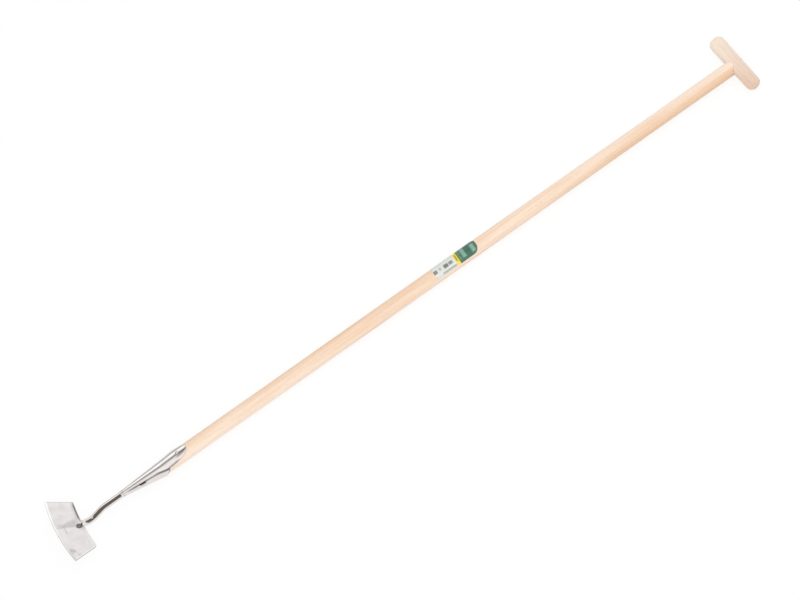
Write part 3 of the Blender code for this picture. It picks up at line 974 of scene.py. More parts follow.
@dataclass(frozen=True)
class BladeFinish(SteelFinish):
    """Blade steel: smudges from its making, a painted shade fan, painted highlights on its ground rim
    and painted shade at its borders.
    """

    plan: BladePlan = BladePlan()
    fan: PaintedShadeFan = PaintedShadeFan()
    # Noise that breaks up the smudges and the painted shade of the fan.
    grime_and_shade_breakup: Noise = Noise(210.0, 4.0, 0.65)
    breakup_on_fan_shade: Span = Span(0.3, 0.6, 0.75, 1.1)
    grime_on_marks: Span = Span(0.32, 0.60, 0.35, 1.0)
    smudge_and_fan_shade: float = 0.50
    # Painted highlights on the ground rims and painted shade lines at the cutting edge, the back and the
    # sides.
    front: EdgeShadeAndHighlight = EdgeShadeAndHighlight(0.0008, 0.0023, 0.0008, 0.22)
    rear: EdgeShadeAndHighlight = EdgeShadeAndHighlight(0.0013, 0.0013, 0.0006, 0.44)
    painted_highlight_colour: Rgb = (1.0, 0.99, 0.985)
    line_shade: float = 0.25
    near_side: Span = Span(0.002, -0.004)
    far_side: Span = Span(0.004, 0.018)
    far_corner: Span = Span(0.0545, 0.044)
    # Painted shade along the back edge of the +Y wing: a darker band and a dark line.
    band: Span = Span(0.0090, 0.0035, 0.0, 0.40)
    band_shade: float = 0.30
    back_shade_line: tuple[float, float] = (0.0009, 0.0036)
    back_shade_line_softness: float = 0.0010
    back_shade_line_share: float = 0.68
    back_shade_line_colour: Rgb = (0.05, 0.042, 0.042)

    def forward(self, wiring: Wiring, place: Place) -> Wire:
        """Give the distance from the back edge, forward along the blade.

        Args:
            wiring: of the material.
            place: X, Y and Z in the drawing.

        Returns:
            The distance.
        """
        from_back_x = wiring.less(place[0], -self.plan.reach)
        from_back_z = wiring.less(place[2], -self.plan.drop)
        return wiring.total(
            wiring.scaled(from_back_x, -math.cos(self.plan.pitch)),
            wiring.scaled(from_back_z, math.sin(self.plan.pitch)),
        )

    def borders(self, wiring: Wiring, forward: Wire, across: Wire) -> tuple[Wire, Wire, Wire]:
        """Give how far a place lies from the blade's borders.

        Args:
            wiring: of the material.
            forward: the place on the blade.
            across: the place on the blade.

        Returns:
            The distances from its cutting edge, its back edge and its nearer side.
        """
        plan = self.plan
        back, front = -plan.back_sweep, plan.span - plan.back_sweep
        half_width = wiring.spread(forward, Span(back, front, plan.back_width / 2, plan.width / 2))
        share = wiring.sum(Sum.DIVIDE, wiring.sum(Sum.ABSOLUTE, across), half_width)
        square = wiring.squared(share)
        front_line = wiring.total(plan.depth, wiring.scaled(square, -plan.edge_sweep))
        to_front = wiring.total(front_line, wiring.scaled(forward, -1.0))
        to_back = wiring.total(forward, wiring.scaled(square, plan.back_sweep))
        to_side = wiring.scaled(wiring.less(1.0, share), half_width)
        return to_front, to_back, to_side

    def smudge_and_shade(self, wiring: Wiring, place: Place, forward: Wire) -> Wire:
        """Give the share of the painted shade fan and the smudges, broken up by noise.

        Args:
            wiring: of the material.
            place: X, Y and Z in the drawing.
            forward: the place on the blade.

        Returns:
            The share.
        """
        grime_and_shade_breakup = wiring.noise(place, self.grime_and_shade_breakup)
        broken = wiring.spread(grime_and_shade_breakup, self.grime_on_marks)
        # The fan is painted shade over the dent; the other patches are smudges.
        fan = self.fan.share(wiring, forward, place[1])
        smudge_and_shade = wiring.scaled(fan, wiring.spread(grime_and_shade_breakup, self.breakup_on_fan_shade))
        for mark in self.smudges_and_reflections:
            smudge_and_shade = wiring.larger(smudge_and_shade, wiring.scaled(mark.share(wiring, forward, place[1]), broken))
        return smudge_and_shade

    def worn_and_painted_light(self, wiring: Wiring, place: Place, colour: Wire) -> Wire:
        """Lay the smudges, the painted shade fan, the painted highlights on the ground rim and the
        painted shade at the borders over the steel.

        Args:
            wiring: of the material.
            place: X, Y and Z in the drawing.
            colour: of the steel.

        Returns:
            The colour of the blade with its smudges and its painted light and shade.
        """
        forward = self.forward(wiring, place)
        across = place[1]
        smudge_and_shade = self.smudge_and_shade(wiring, place, forward)
        colour = wiring.blend(smudge_and_shade, colour, self.shaded(self.smudge_and_fan_shade))

        # Painted highlights on the ground rims, the one at the back only on the -Y side, and painted
        # shade lines at the borders.
        to_front, to_back, to_side = self.borders(wiring, forward, across)
        to_rear = wiring.sum(Sum.SMALLER, to_side, to_back)
        near_side = wiring.spread(across, self.near_side)
        rear_rim = wiring.scaled(self.rear.bright(wiring, to_rear), near_side)
        rims = wiring.larger(self.front.bright(wiring, to_front), rear_rim)
        colour = wiring.blend(rims, colour, self.painted_highlight_colour)
        lines = wiring.larger(self.front.dark(wiring, to_front), self.rear.dark(wiring, to_rear))
        colour = wiring.blend(lines, colour, self.shaded(self.line_shade))

        # Painted shade: a darker band and a dark line along the back edge on the +Y side, fading short
        # of the far corner.
        far_corner = wiring.spread(across, self.far_corner)
        far_side = wiring.scaled(wiring.spread(across, self.far_side), far_corner)
        band = wiring.scaled(wiring.spread(to_back, self.band), far_side)
        colour = wiring.blend(band, colour, self.shaded(self.band_shade))
        back_shade_line = wiring.scaled(wiring.between(to_back, *self.back_shade_line, self.back_shade_line_softness), far_side)
        return wiring.blend(wiring.scaled(back_shade_line, self.back_shade_line_share), colour, self.back_shade_line_colour)


class Ink(Enum):
    """The colours on the label, 0 to 255."""

    GROUND = (222, 226, 219)
    PALE = (212, 217, 210)
    WHITE = (228, 231, 224)
    BRIGHT = (246, 248, 244)
    GREY = (172, 176, 170)
    DARK = (120, 119, 114)
    YELLOW = (247, 223, 62)
    OCHRE = (176, 150, 26)
    MOSS = (122, 150, 70)
    GREEN = (62, 112, 92)
    DEEP_GREEN = (44, 96, 78)
    LIGHT_GREEN = (150, 188, 176)


@dataclass(frozen=True)
class Patch:
    """One flat printed field on the label, measured along the shaft and round it."""

    along: tuple[float, float]
    around: tuple[float, float]
    ink: Ink
    cover: float = 1.0
    softness: float = 0.0004

    def share(self, wiring: Wiring, along: Wire, around: Wire) -> Wire:
        """Give how much of the field covers a place.

        Args:
            wiring: of the material.
            along: the place along the shaft.
            around: the place round the shaft.

        Returns:
            The share.
        """
        lengthwise = wiring.between(along, *self.along, self.softness)
        sidewise = wiring.between(around, *self.around, self.softness)
        return wiring.scaled(wiring.scaled(lengthwise, sidewise), self.cover)


@dataclass(frozen=True)
class PrintFinish:
    """Printed film: plain fields of colour under a clear coat."""

    name: str
    start: float
    radius: float
    patches: tuple[Patch, ...]
    fleck: Noise = Noise(900.0, 2.0, 0.5)
    roughness: Span = Span(0.3, 0.7, 0.30, 0.39)
    bump_depth: float = 0.00003
    bump_strength: float = 0.3
    coat: float = 0.25
    coat_roughness: float = 0.18

    def build(self) -> bpy.types.Material:
        """Make the material.

        Returns:
            The material.
        """
        material, wiring = start_material(self.name)
        x, y, z = wiring.drawing_place()
        along = wiring.less(x, self.start)
        around = wiring.scaled(wiring.sum(Sum.ANGLE, wiring.scaled(y, -1.0), z), self.radius)
        colour: Value = linear(Ink.GROUND.value)
        for patch in self.patches:
            colour = wiring.blend(patch.share(wiring, along, around), colour, linear(patch.ink.value))
        fleck = wiring.noise((x, y, z), self.fleck)
        wiring.surface(
            Base_Color=colour,
            Roughness=wiring.spread(fleck, self.roughness),
            Normal=wiring.bump(fleck, self.bump_depth, self.bump_strength),
            Coat_Weight=self.coat,
            Coat_Roughness=self.coat_roughness,
        )
        return material


# Finishes of this hoe


BLADE_STEEL = BladeFinish(
    name="blade steel",
    colour=(236, 231, 231),
    roughness=0.36,
    brush=Brush.ACROSS,
    cloud_share=0.035,
    smudges_and_reflections=(
        SmudgeAndReflectionPatch(0.0425, -0.0480, 0.0110, 0.0180, -0.90, 0.66),
        SmudgeAndReflectionPatch(0.0462, -0.0542, 0.0060, 0.0110, 0.20, 0.62),
        SmudgeAndReflectionPatch(0.0340, -0.0600, 0.0100, 0.0100, 0.40, 0.36),
        SmudgeAndReflectionPatch(0.0364, -0.0045, 0.0046, 0.0230, 0.05, 0.55),
        SmudgeAndReflectionPatch(0.0420, 0.0095, 0.0200, 0.0140, 0.00, 0.36),
        SmudgeAndReflectionPatch(0.0300, -0.0090, 0.0160, 0.0070, 0.20, 0.16),
        SmudgeAndReflectionPatch(0.0240, 0.0480, 0.0160, 0.0220, 0.50, 0.14),
        SmudgeAndReflectionPatch(0.0180, -0.0300, 0.0200, 0.0300, -0.30, 0.12),
        SmudgeAndReflectionPatch(0.0330, 0.0260, 0.0120, 0.0260, 0.30, 0.12),
    ),
)
NECK_STEEL = SteelFinish(
    name="neck steel",
    colour=(230, 226, 223),
    roughness=0.12,
    brush=Brush.ALONG_SHAFT,
    cloud_share=0.04,
    brush_depth=0.00001,
)
SOCKET_STEEL = SheetFinish(
    name="socket steel",
    colour=(233, 228, 226),
    roughness=0.17,
    brush=Brush.ALONG_SHAFT,
    cloud_share=0.04,
    brush_depth=0.000015,
    # A painted dark reflection on the tongue.
    smudges_and_reflections=(SmudgeAndReflectionPatch(0.1290, -0.0052, 0.0300, 0.0066, 0.18, 0.60),),
)
DARK_WELD = SteelFinish(
    name="dark weld",
    colour=(140, 132, 128),
    roughness=0.46,
    brush=Brush.NONE,
    cloud_share=0.12,
    brush_depth=0.00015,
    metallic=0.8,
    grit_pitch=0.0015,
)
BRIGHT_WELD = SteelFinish(
    name="bright weld",
    colour=(222, 216, 212),
    roughness=0.30,
    brush=Brush.NONE,
    cloud_share=0.08,
    brush_depth=0.00010,
    grit_pitch=0.0015,
)
NAIL_METAL = SteelFinish(
    name="nail metal",
    colour=(244, 228, 204),
    roughness=0.40,
    brush=Brush.NONE,
    cloud_share=0.03,
    brush_depth=0.00003,
    metallic=0.6,
    grit_pitch=0.0008,
)

SHAFT_WOOD = WoodFinish(
    name="shaft ash",
    light=(254, 233, 213),
    dark=(240, 202, 168),
    grain=Grain.ALONG_SHAFT,
    pith=(0.030, -0.024),
    # Painted shade: the +Y side darker near the blade, the -Y side darker near the grip, and darker
    # towards the grip.
    painted_side_shade=(50.0, -68.0),
    painted_end_shade=0.10,
)
GRIP_WOOD = WoodFinish(
    name="grip ash",
    light=(249, 231, 213),
    dark=(226, 193, 170),
    grain=Grain.ALONG_GRIP,
    pith=(1.352, -0.034),
    ring_share=0.30,
    streak_share=0.45,
    # Painted shade: the grip darker towards its -Y end.
    painted_end_shade=-7.0,
)
WEDGE_WOOD = WoodFinish(
    name="wedge ash",
    light=(226, 190, 150),
    dark=(188, 144, 100),
    grain=Grain.ALONG_SHAFT,
    pith=(0.020, 0.0),
    ring_pitch=0.0016,
)

LABEL_PRINT = (
    Patch((0.0, 0.0482), (-0.030, -0.0080), Ink.PALE, 0.8, 0.0030),
    Patch((0.0040, 0.0450), (-0.0050, -0.0036), Ink.WHITE),
    Patch((0.0010, 0.0470), (0.0092, 0.0102), Ink.BRIGHT, 0.9),
    Patch((0.0150, 0.0450), (0.0110, 0.0152), Ink.GREY, 0.85),
    Patch((0.0185, 0.0300), (0.0080, 0.0088), Ink.GREY, 0.5),
    Patch((0.0002, 0.0075), (-0.0004, 0.0066), Ink.DARK, 0.92),
    Patch((0.0026, 0.0054), (0.0020, 0.0046), Ink.GREY, 0.35),
    Patch((0.0124, 0.0164), (-0.0006, 0.0050), Ink.GREY, 0.85),
    Patch((0.0220, 0.0316), (-0.0004, 0.0070), Ink.DARK, 0.95),
    Patch((0.0330, 0.0414), (0.0000, 0.0064), Ink.DARK, 0.80),
    Patch((0.0430, 0.0462), (-0.0060, 0.0090), Ink.WHITE, 0.8),
    Patch((0.0464, 0.1000), (-0.030, 0.030), Ink.YELLOW),
    Patch((0.0478, 0.0514), (-0.0050, 0.0085), Ink.OCHRE, 0.85),
    Patch((0.0532, 0.1000), (-0.030, 0.030), Ink.GREEN),
    Patch((0.0532, 0.0590), (-0.0120, 0.0110), Ink.MOSS, 0.50, 0.0034),
    Patch((0.0622, 0.0694), (-0.0100, 0.0104), Ink.LIGHT_GREEN, 0.66, 0.0014),
    Patch((0.0722, 0.0790), (-0.0120, 0.0140), Ink.DEEP_GREEN, 0.60, 0.0034),
    Patch((0.0826, 0.0896), (-0.0050, 0.0110), Ink.LIGHT_GREEN, 0.72, 0.0030),
)


# Head: blade, neck and the weld between them


@dataclass(frozen=True)
class Dent:
    """The shallow dent that fans out from near the cutting edge to the neck."""

    forward: float = 0.0475
    across: float = 0.0070
    lean: float = 0.26
    start: Ease = Ease(0.0, 0.012)
    end: Ease = Ease(0.046, -0.014)
    high_width: float = 0.0030
    widening: float = 0.24
    low_width: float = 0.0022
    depth: float = 0.00045

    def at(self, forward: float, across: float) -> float:
        """Give the depth of the dent.

        Args:
            forward: from the back edge.
            across: to the Y side.

        Returns:
            The depth.
        """
        along = self.forward - forward
        aside = across - self.across + self.lean * along
        width = self.low_width
        if aside >= 0:
            width = self.high_width + self.widening * max(along, 0.0)
        fade = self.start.at(along) * self.end.at(along)
        return self.depth * fade * (1 - smooth_step(abs(aside) / width))


@dataclass(frozen=True)
class Blade(BladePlan):
    """The flat push blade, from the middle of its back edge."""

    thickness: float = 0.0025
    back_corner: float = 0.0030
    front_corner: float = 0.0018
    grind: float = 0.0040
    edge_thickness: float = 0.0006
    easing: float = 0.0005
    dent: Dent = Dent()
    wave_depth: float = 0.00006
    wave_pitch: float = 0.034
    wave_start: Ease = Ease(0.002, 0.006)
    wave_end: Ease = Ease(0.046, -0.004)
    bevel_easing: float = 0.00018
    bevel_margin: float = 0.0008
    half_steps: int = 46
    corner_steps: int = 10
    forward_steps: int = 34

    @property
    def forward(self) -> Vector:
        """The direction of its push."""
        return Vector((-math.cos(self.pitch), 0, math.sin(self.pitch)))

    @property
    def upward(self) -> Vector:
        """The direction away from its top face."""
        return Vector((math.sin(self.pitch), 0, math.cos(self.pitch)))

    def point(self, forward: float, across: float, height: float) -> Vector:
        """Turn a place on the blade into a point of the drawing.

        Args:
            forward: from the middle of the back edge.
            across: to the Y side.
            height: above the middle of the blade's thickness.

        Returns:
            The point.
        """
        back = Vector((-self.reach, 0, -self.drop))
        return back + self.forward * forward + Vector((0, across, 0)) + self.upward * height

    def half_width(self, forward: float) -> float:
        """Give half of the width at a distance from the back edge."""
        share = min(max((forward + self.back_sweep) / self.span, 0.0), 1.0)
        return (self.back_width + (self.width - self.back_width) * share) / 2

    def limits(self, share: float) -> tuple[float, float]:
        """Give where the blade begins and ends on one line across.

        Args:
            share: of the half width, from -1 to 1.

        Returns:
            The forward distances of its back edge and its cutting edge.
        """
        size = abs(share)
        back = -self.back_sweep * size * size
        front = self.depth - self.edge_sweep * size * size
        back_share = 1 - 2 * self.back_corner / self.back_width
        front_share = 1 - 2 * self.front_corner / self.width
        if size > back_share:
            turn = (size - back_share) / (1 - back_share)
            back += self.back_corner * (1 - math.sqrt(max(1 - turn * turn, 0.0)))
        if size > front_share:
            turn = (size - front_share) / (1 - front_share)
            front -= self.front_corner * (1 - math.sqrt(max(1 - turn * turn, 0.0)))
        return back, front

    def relief(self, forward: float, across: float) -> float:
        """Give the dent and the soft waves of the top face.

        Args:
            forward: from the back edge.
            across: to the Y side.

        Returns:
            The height to add, 0 or less.
        """
        waves = self.wave_depth * (ripple(forward, across, 0.0, self.wave_pitch) - 1)
        border = self.wave_start.at(forward) * self.wave_end.at(forward)
        return waves * border - self.dent.at(forward, across)

    def top(self, forward: float, across: float, share: float) -> float:
        """Give the height of the top face.

        Args:
            forward: from the back edge.
            across: to the Y side.
            share: of the half width.

        Returns:
            The height above the middle of the thickness.
        """
        back, front = self.limits(share)
        to_front = front - forward
        height = self.thickness / 2
        if to_front < self.grind:
            fall = self.thickness - self.edge_thickness
            height -= fall * (1 - max(to_front, 0.0) / self.grind)
        else:
            to_side = (1 - abs(share)) * self.half_width(forward)
            height -= edge_inset(min(forward - back, to_side), self.easing)
            height += self.relief(forward, across)
        return height

    def bottom(self, forward: float, share: float) -> float:
        """Give the height of the sole.

        Args:
            forward: from the back edge.
            share: of the half width.

        Returns:
            The height, below 0 under the middle of the thickness.
        """
        back, front = self.limits(share)
        to_side = (1 - abs(share)) * self.half_width(forward)
        if front - forward < self.easing:
            return -self.thickness / 2
        return -self.thickness / 2 + edge_inset(min(forward - back, to_side), self.easing)

    def shares(self) -> list[float]:
        """Give the lines across the blade, closer together at its ends.

        Returns:
            Shares of the half width, from -1 to 1.
        """
        corner = 2 * self.back_corner / self.back_width
        inner = 1 - corner
        ease = 2 * self.easing / self.width
        half = [inner * step / self.half_steps for step in range(self.half_steps + 1)]
        for step in range(1, self.corner_steps + 1):
            half.append(inner + corner * math.sin(math.pi / 2 * step / self.corner_steps))
        half += [1 - ease * near for near in (0.45, 0.15)]
        half = sorted(set(half))
        return [-share for share in reversed(half[1:])] + half

    def distances(self, back: float, front: float) -> list[float]:
        """Give the places along one line, closer together at both edges.

        Args:
            back: where the line begins.
            front: where it ends.

        Returns:
            The forward distances.
        """
        places = [back + near * self.easing for near in (0.0, 0.08, 0.35, 1.0)]
        start = back + 2 * self.easing
        bevel = front - self.grind
        end = bevel - self.bevel_margin
        for step in range(self.forward_steps + 1):
            places.append(start + (end - start) * step / self.forward_steps)
        places += [bevel - self.bevel_easing, bevel, bevel + self.bevel_easing]
        places += [bevel + share * self.grind for share in (0.4, 0.8)]
        places.append(front)
        return places

    def build(self) -> bpy.types.Object:
        """Build the blade with its ground edge and its dent.

        Returns:
            The blade.
        """
        grid: Grid = []
        for share in self.shares():
            row = []
            for forward in self.distances(*self.limits(share)):
                across = share * self.half_width(forward)
                top = self.point(forward, across, self.top(forward, across, share))
                row.append((top, self.point(forward, across, self.bottom(forward, share))))
            grid.append(row)
        return make_object("blade_plate", *sheet_body(grid))

    def dress(self) -> None:
        """Build the blade and give it its steel."""
        stand_in(self.build(), "blade", BLADE_STEEL.build())


@dataclass
class Neck:
    """The bent bar between blade and socket."""

    blade: Blade
    diameter: float = 0.0125
    spigot_diameter: float = 0.0100
    spigot_length: float = 0.012
    height: float = 0.0070
    descent: float = math.radians(22)
    upper_bend: float = 0.028
    lower_bend: float = 0.020
    run: float = 0.0030
    lap: float = 0.0042
    seat_flat: float = 0.0028
    end_easing: float = 0.0036
    clearance: float = 0.0003
    sides: int = 56
    end_steps: int = 8
    lower_steps: int = 30
    slope_steps: int = 4
    upper_steps: int = 14
    top_steps: int = 6

    @property
    def seat(self) -> float:
        """Height of the face that it lies on."""
        return self.blade.thickness / 2 + self.clearance

    def path(self) -> list[tuple[Vector, float, float]]:
        """Give the bar's axis from the blade to the socket.

        Returns:
            (point, heading, radius of the bar) for each place on it.
        """
        radius = self.diameter / 2
        height = self.seat + radius - self.seat_flat
        heading = -self.blade.pitch
        path = []
        for step in range(self.end_steps + 1):
            turn = math.pi / 2 * step / self.end_steps
            inset = self.end_easing * (1 - math.cos(turn))
            narrow = radius - self.end_easing * (1 - math.sin(turn))
            path.append((self.blade.point(self.lap - inset, 0, height), heading, narrow))
        point = self.blade.point(-self.run, 0, height)
        path.append((point, heading, radius))
        path += self.bend(point, heading, self.descent, self.lower_bend, self.lower_steps)
        point = path[-1][0]
        upper_rise = self.upper_bend * (1 - math.cos(self.descent))
        length = (self.height - upper_rise - point.z) / math.sin(self.descent)
        slope = Vector((math.cos(self.descent), 0, math.sin(self.descent)))
        for step in range(1, self.slope_steps + 1):
            path.append((point + slope * length * step / self.slope_steps, self.descent, radius))
        path += self.bend(path[-1][0], self.descent, 0.0, self.upper_bend, self.upper_steps)
        last = path[-1][0]
        for step in range(1, self.top_steps + 1):
            x = last.x + (-self.clearance - last.x) * step / self.top_steps
            path.append((Vector((x, 0, self.height)), 0.0, radius))
        return path

    def bend(
        self, start: Vector, heading: float, turned: float, radius: float, steps: int
    ) -> list[tuple[Vector, float, float]]:
        """Follow an arc of the bar's axis.

        Args:
            start: where the arc begins.
            heading: there.
            turned: the heading at its end.
            radius: of the arc.
            steps: how many points it takes.

        Returns:
            (point, heading, radius of the bar) after each step.
        """
        side = math.copysign(radius, turned - heading)
        points = []
        for step in range(1, steps + 1):
            angle = heading + (turned - heading) * step / steps
            along = side * (math.sin(angle) - math.sin(heading))
            rise = side * (math.cos(heading) - math.cos(angle))
            points.append((start + Vector((along, 0, rise)), angle, self.diameter / 2))
        return points

    def ring(self, centre: Vector, heading: float, radius: float) -> list[Vector]:
        """Give a circle across the bar, flattened where it lies on the blade.

        Args:
            centre: on the bar's axis.
            heading: of the axis there.
            radius: of the bar there.

        Returns:
            Its points.
        """
        upward = Vector((-math.sin(heading), 0, math.cos(heading)))
        back = self.blade.point(0, 0, 0)
        ring = []
        for side in range(self.sides):
            angle = 2 * math.pi * side / self.sides
            spoke = Vector((0, radius * math.cos(angle), 0)) + upward * (radius * math.sin(angle))
            point = centre + spoke
            height = (point - back).dot(self.blade.upward)
            if heading == -self.blade.pitch and height < self.seat:
                point = point + self.blade.upward * (self.seat - height)
            ring.append(point)
        return ring

    def build(self) -> bpy.types.Object:
        """Build the bar and the thinner end inside the socket.

        Returns:
            The neck.
        """
        rings = [self.ring(*station) for station in self.path()]
        spigot = self.spigot_diameter / 2
        rings.append(self.ring(Vector((-self.clearance, 0, self.height)), 0.0, spigot))
        end = Vector((self.spigot_length, 0, Bore().at(self.spigot_length)[0]))
        rings.append(self.ring(end, 0.0, spigot))
        return make_object("neck_bar", *loft(rings))

    def dress(self) -> None:
        """Build the neck and give it its steel."""
        stand_in(self.build(), "neck", NECK_STEEL.build())


@dataclass
class NeckWeld:
    """The low, lumpy dome of weld on the blade in front of the neck."""

    neck: Neck
    diameter: float = 0.0102
    height: float = 0.0022
    offset: float = 0.0010
    cut: float = 0.80
    last_turn: float = math.radians(8)
    lump_share: float = 0.10
    lump_pitch: float = 0.0052
    rows: int = 26
    columns: int = 40

    def build(self) -> bpy.types.Object:
        """Build the dome, cut off beside the neck's end.

        Returns:
            The weld.
        """
        blade = self.neck.blade
        radius = self.diameter / 2
        start = self.neck.lap + self.neck.clearance
        middle = start + self.cut * radius
        first_turn = math.acos(-self.cut)
        rings = []
        for row in range(self.rows):
            turn = first_turn + (self.last_turn - first_turn) * row / (self.rows - 1)
            ring = []
            for column in range(self.columns + 1):
                angle = math.pi * column / self.columns
                across = radius * math.sin(turn) * math.cos(angle) - self.offset
                forward = middle + radius * math.cos(turn)
                swell = self.height * math.sin(turn) * math.sin(angle)
                lump = 1 - self.lump_share * (1 - ripple(forward, across, 0.0, self.lump_pitch))
                ring.append(blade.point(forward, across, self.neck.seat + swell * lump))
            rings.append(ring)
        return make_object("neck_weld", *loft(rings))

    def dress(self) -> None:
        """Build the weld and give it its dark steel."""
        stand_in(self.build(), "neck_weld_bead", DARK_WELD.build())


# Socket


@dataclass(frozen=True)
class Bore:
    """The hollow of the socket, round the neck's end and the wood."""

    clearance: float = 0.0003
    shaft_radius: float = 0.0150
    spigot_radius: float = 0.0050
    neck_height: float = 0.0070
    cone_length: float = 0.078
    round_start: float = 0.115
    top_flat: float = 0.0015

    def at(self, x: float) -> tuple[float, float]:
        """Give the height of the hollow's middle and its radius.

        Args:
            x: distance from the socket's narrow end.

        Returns:
            The height and the radius.
        """
        narrow = self.spigot_radius + self.clearance
        mouth = self.shaft_radius + self.clearance
        level = mouth - self.top_flat
        if x <= self.cone_length:
            share = max(x, 0.0) / self.cone_length
            height = self.neck_height + (-self.top_flat - self.neck_height) * share
            return height, narrow + (level - narrow) * share
        if x < self.round_start:
            share = (x - self.cone_length) / (self.round_start - self.cone_length)
            return -self.top_flat * (1 - share), level + self.top_flat * share
        return 0.0, mouth


@dataclass(frozen=True)
class PaintedEdgeShade:
    """How the painted shade along the sheet's edges comes and goes on the way from the narrow end."""

    start: float = 0.0007
    reach: float = 0.0030
    narrow_share: float = 0.6
    wide: Ease = Ease(0.060, 0.020)
    fade: Ease = Ease(0.113, 0.012)
    fade_share: float = 0.8
    swell: Ease = Ease(0.090, 0.012)
    swell_end: Ease = Ease(0.112, 0.012)
    swell_share: float = 0.8
    inner_share: float = 0.3

    def at(self, x: float, distance: float, opened: float) -> float:
        """Give the painted shade on the sheet's outer face.

        Args:
            x: the place, from the narrow end.
            distance: from the nearest edge.
            opened: how far the seam is open there, from 0 to 1.

        Returns:
            The share of the painted shade.
        """
        strength = self.narrow_share * opened + (1 - self.narrow_share) * self.wide.at(x)
        strength *= 1 - self.fade_share * self.fade.at(x)
        swell = self.swell.at(x) * (1 - self.swell_end.at(x))
        reach = self.reach * (1 + self.swell_share * swell)
        return (1 - smooth_step((distance - self.start) / (reach - self.start))) * strength


@dataclass
class Socket:
    """The rolled sheet with its seam, slot, tongue and nail hole."""

    bore: Bore = Bore()
    sheet: float = 0.00155
    length: float = 0.0825
    tongue_half_angle: float = math.radians(59)
    tongue_shoulder: float = 0.0157
    shoulder_angle: float = math.radians(35)
    tongue_length: float = 0.0445
    seam_angle: float = math.radians(42)
    seam_gap: float = 0.0006
    narrow_gap_share: float = 0.3
    seam_opening: Ease = Ease(0.0, 0.024)
    seam_flare_start: float = 0.070
    shoulder_power: int = 3
    lobe_end_angle: float = math.radians(110)
    lobe_height: float = 0.0130
    lobe_power: float = 1.5
    slot_start: float = 0.0320
    slot_length: float = 0.0140
    slot_width: float = 0.0020
    nail_from_rim: float = 0.0395
    nail_hole_diameter: float = 0.0053
    nail_hole_sides: int = 48
    easing: float = 0.0007
    inner_easing_share: float = 0.2
    painted_edge_shading: PaintedEdgeShade = PaintedEdgeShade()
    rows: int = 72
    easing_rows: int = 4
    lobe_steps: int = 40
    back_steps: int = 32
    shoulder_steps: int = 20
    tongue_steps: int = 64

    @property
    def tongue_root(self) -> float:
        """Where the tongue's own rim begins."""
        return self.length + self.tongue_shoulder

    @property
    def nail_seat(self) -> Vector:
        """Where the nail's head lies on the wood."""
        radius = self.bore.shaft_radius + self.bore.clearance
        return Vector((self.length + self.nail_from_rim, 0, radius))

    def low_edge(self, x: float) -> float:
        """Give the angle of the sheet's edge beside the panel.

        Args:
            x: the place, from the narrow end.

        Returns:
            The angle.
        """
        opened = self.seam_opening.at(x)
        gap = self.seam_gap * (self.narrow_gap_share + (1 - self.narrow_gap_share) * opened)
        from_middle = abs(x - self.slot_start - self.slot_length / 2) / (self.slot_length / 2)
        if from_middle < 1:
            gap += self.slot_width * math.sqrt(1 - from_middle**4)
        return self.high_edge(x) - 2 * math.pi + gap / self.bore.at(x)[1]

    def high_edge(self, x: float) -> float:
        """Give the angle of the sheet's edge on the tongue's side."""
        share = smooth_step((x - self.seam_flare_start) / (self.tongue_root - self.seam_flare_start))
        return 2 * math.pi + self.seam_angle + (self.tongue_half_angle - self.seam_angle) * share

    def rim(self) -> list[tuple[float, float]]:
        """Give the rim, round from the panel's edge to the tongue's edge.

        Returns:
            (angle, X) pairs.
        """
        start = self.low_edge(self.length + self.lobe_height)
        tongue_start = 2 * math.pi - self.tongue_half_angle
        foot = tongue_start - self.shoulder_angle
        rim = []
        for step in range(self.lobe_steps):
            share = step / self.lobe_steps
            angle = start + (self.lobe_end_angle - start) * share
            rim.append((angle, self.length + self.lobe_height * (1 - share**self.lobe_power)))
        for step in range(self.back_steps):
            share = step / self.back_steps
            rim.append((self.lobe_end_angle + (foot - self.lobe_end_angle) * share, self.length))
        for step in range(self.shoulder_steps):
            share = step / self.shoulder_steps
            angle = foot + (tongue_start - foot) * share
            rim.append((angle, self.length + self.tongue_shoulder * share**self.shoulder_power))
        for step in range(self.tongue_steps + 1):
            sweep = math.pi * (step / self.tongue_steps - 0.5)
            angle = 2 * math.pi + self.tongue_half_angle * math.sin(sweep)
            rim.append((angle, self.tongue_root + self.tongue_length * math.cos(sweep)))
        return rim

    def stations(self, rim_x: float) -> list[float]:
        """Give the places along one line of the sheet, closer together at the rim.

        Args:
            rim_x: where the line ends.

        Returns:
            The distances from the narrow end.
        """
        start = rim_x - self.easing
        places = [start * row / self.rows for row in range(self.rows + 1)]
        for step in range(1, self.easing_rows + 1):
            places.append(start + self.easing * math.sin(math.pi / 2 * step / self.easing_rows))
        return places

    def columns(self) -> list[tuple[float, float]]:
        """Give the lines of the sheet, closer together at its edges.

        Returns:
            (share of the way round, X of the rim) for each line.
        """
        columns = []
        for angle, x in self.rim():
            low = self.low_edge(x)
            columns.append((max(angle - low, 0.0) / (self.high_edge(x) - low), x))
        edge = self.easing / (self.bore.shaft_radius * 2 * math.pi)
        low = [(edge * share, self.rim_at(columns, edge * share)) for share in (0.12, 0.42, 1.0)]
        high = [(1 - share, self.rim_at(columns, 1 - share)) for share, _ in low]
        return sorted(set(columns + low + high))

    @staticmethod
    def rim_at(columns: list[tuple[float, float]], share: float) -> float:
        """Give X of the rim between two of its points.

        Args:
            columns: (share, X) pairs in order.
            share: of the way round.

        Returns:
            X there.
        """
        for (low, low_x), (high, high_x) in zip(columns, columns[1:]):
            if low <= share <= high:
                return low_x + (high_x - low_x) * (share - low) / (high - low)
        return columns[-1][1]

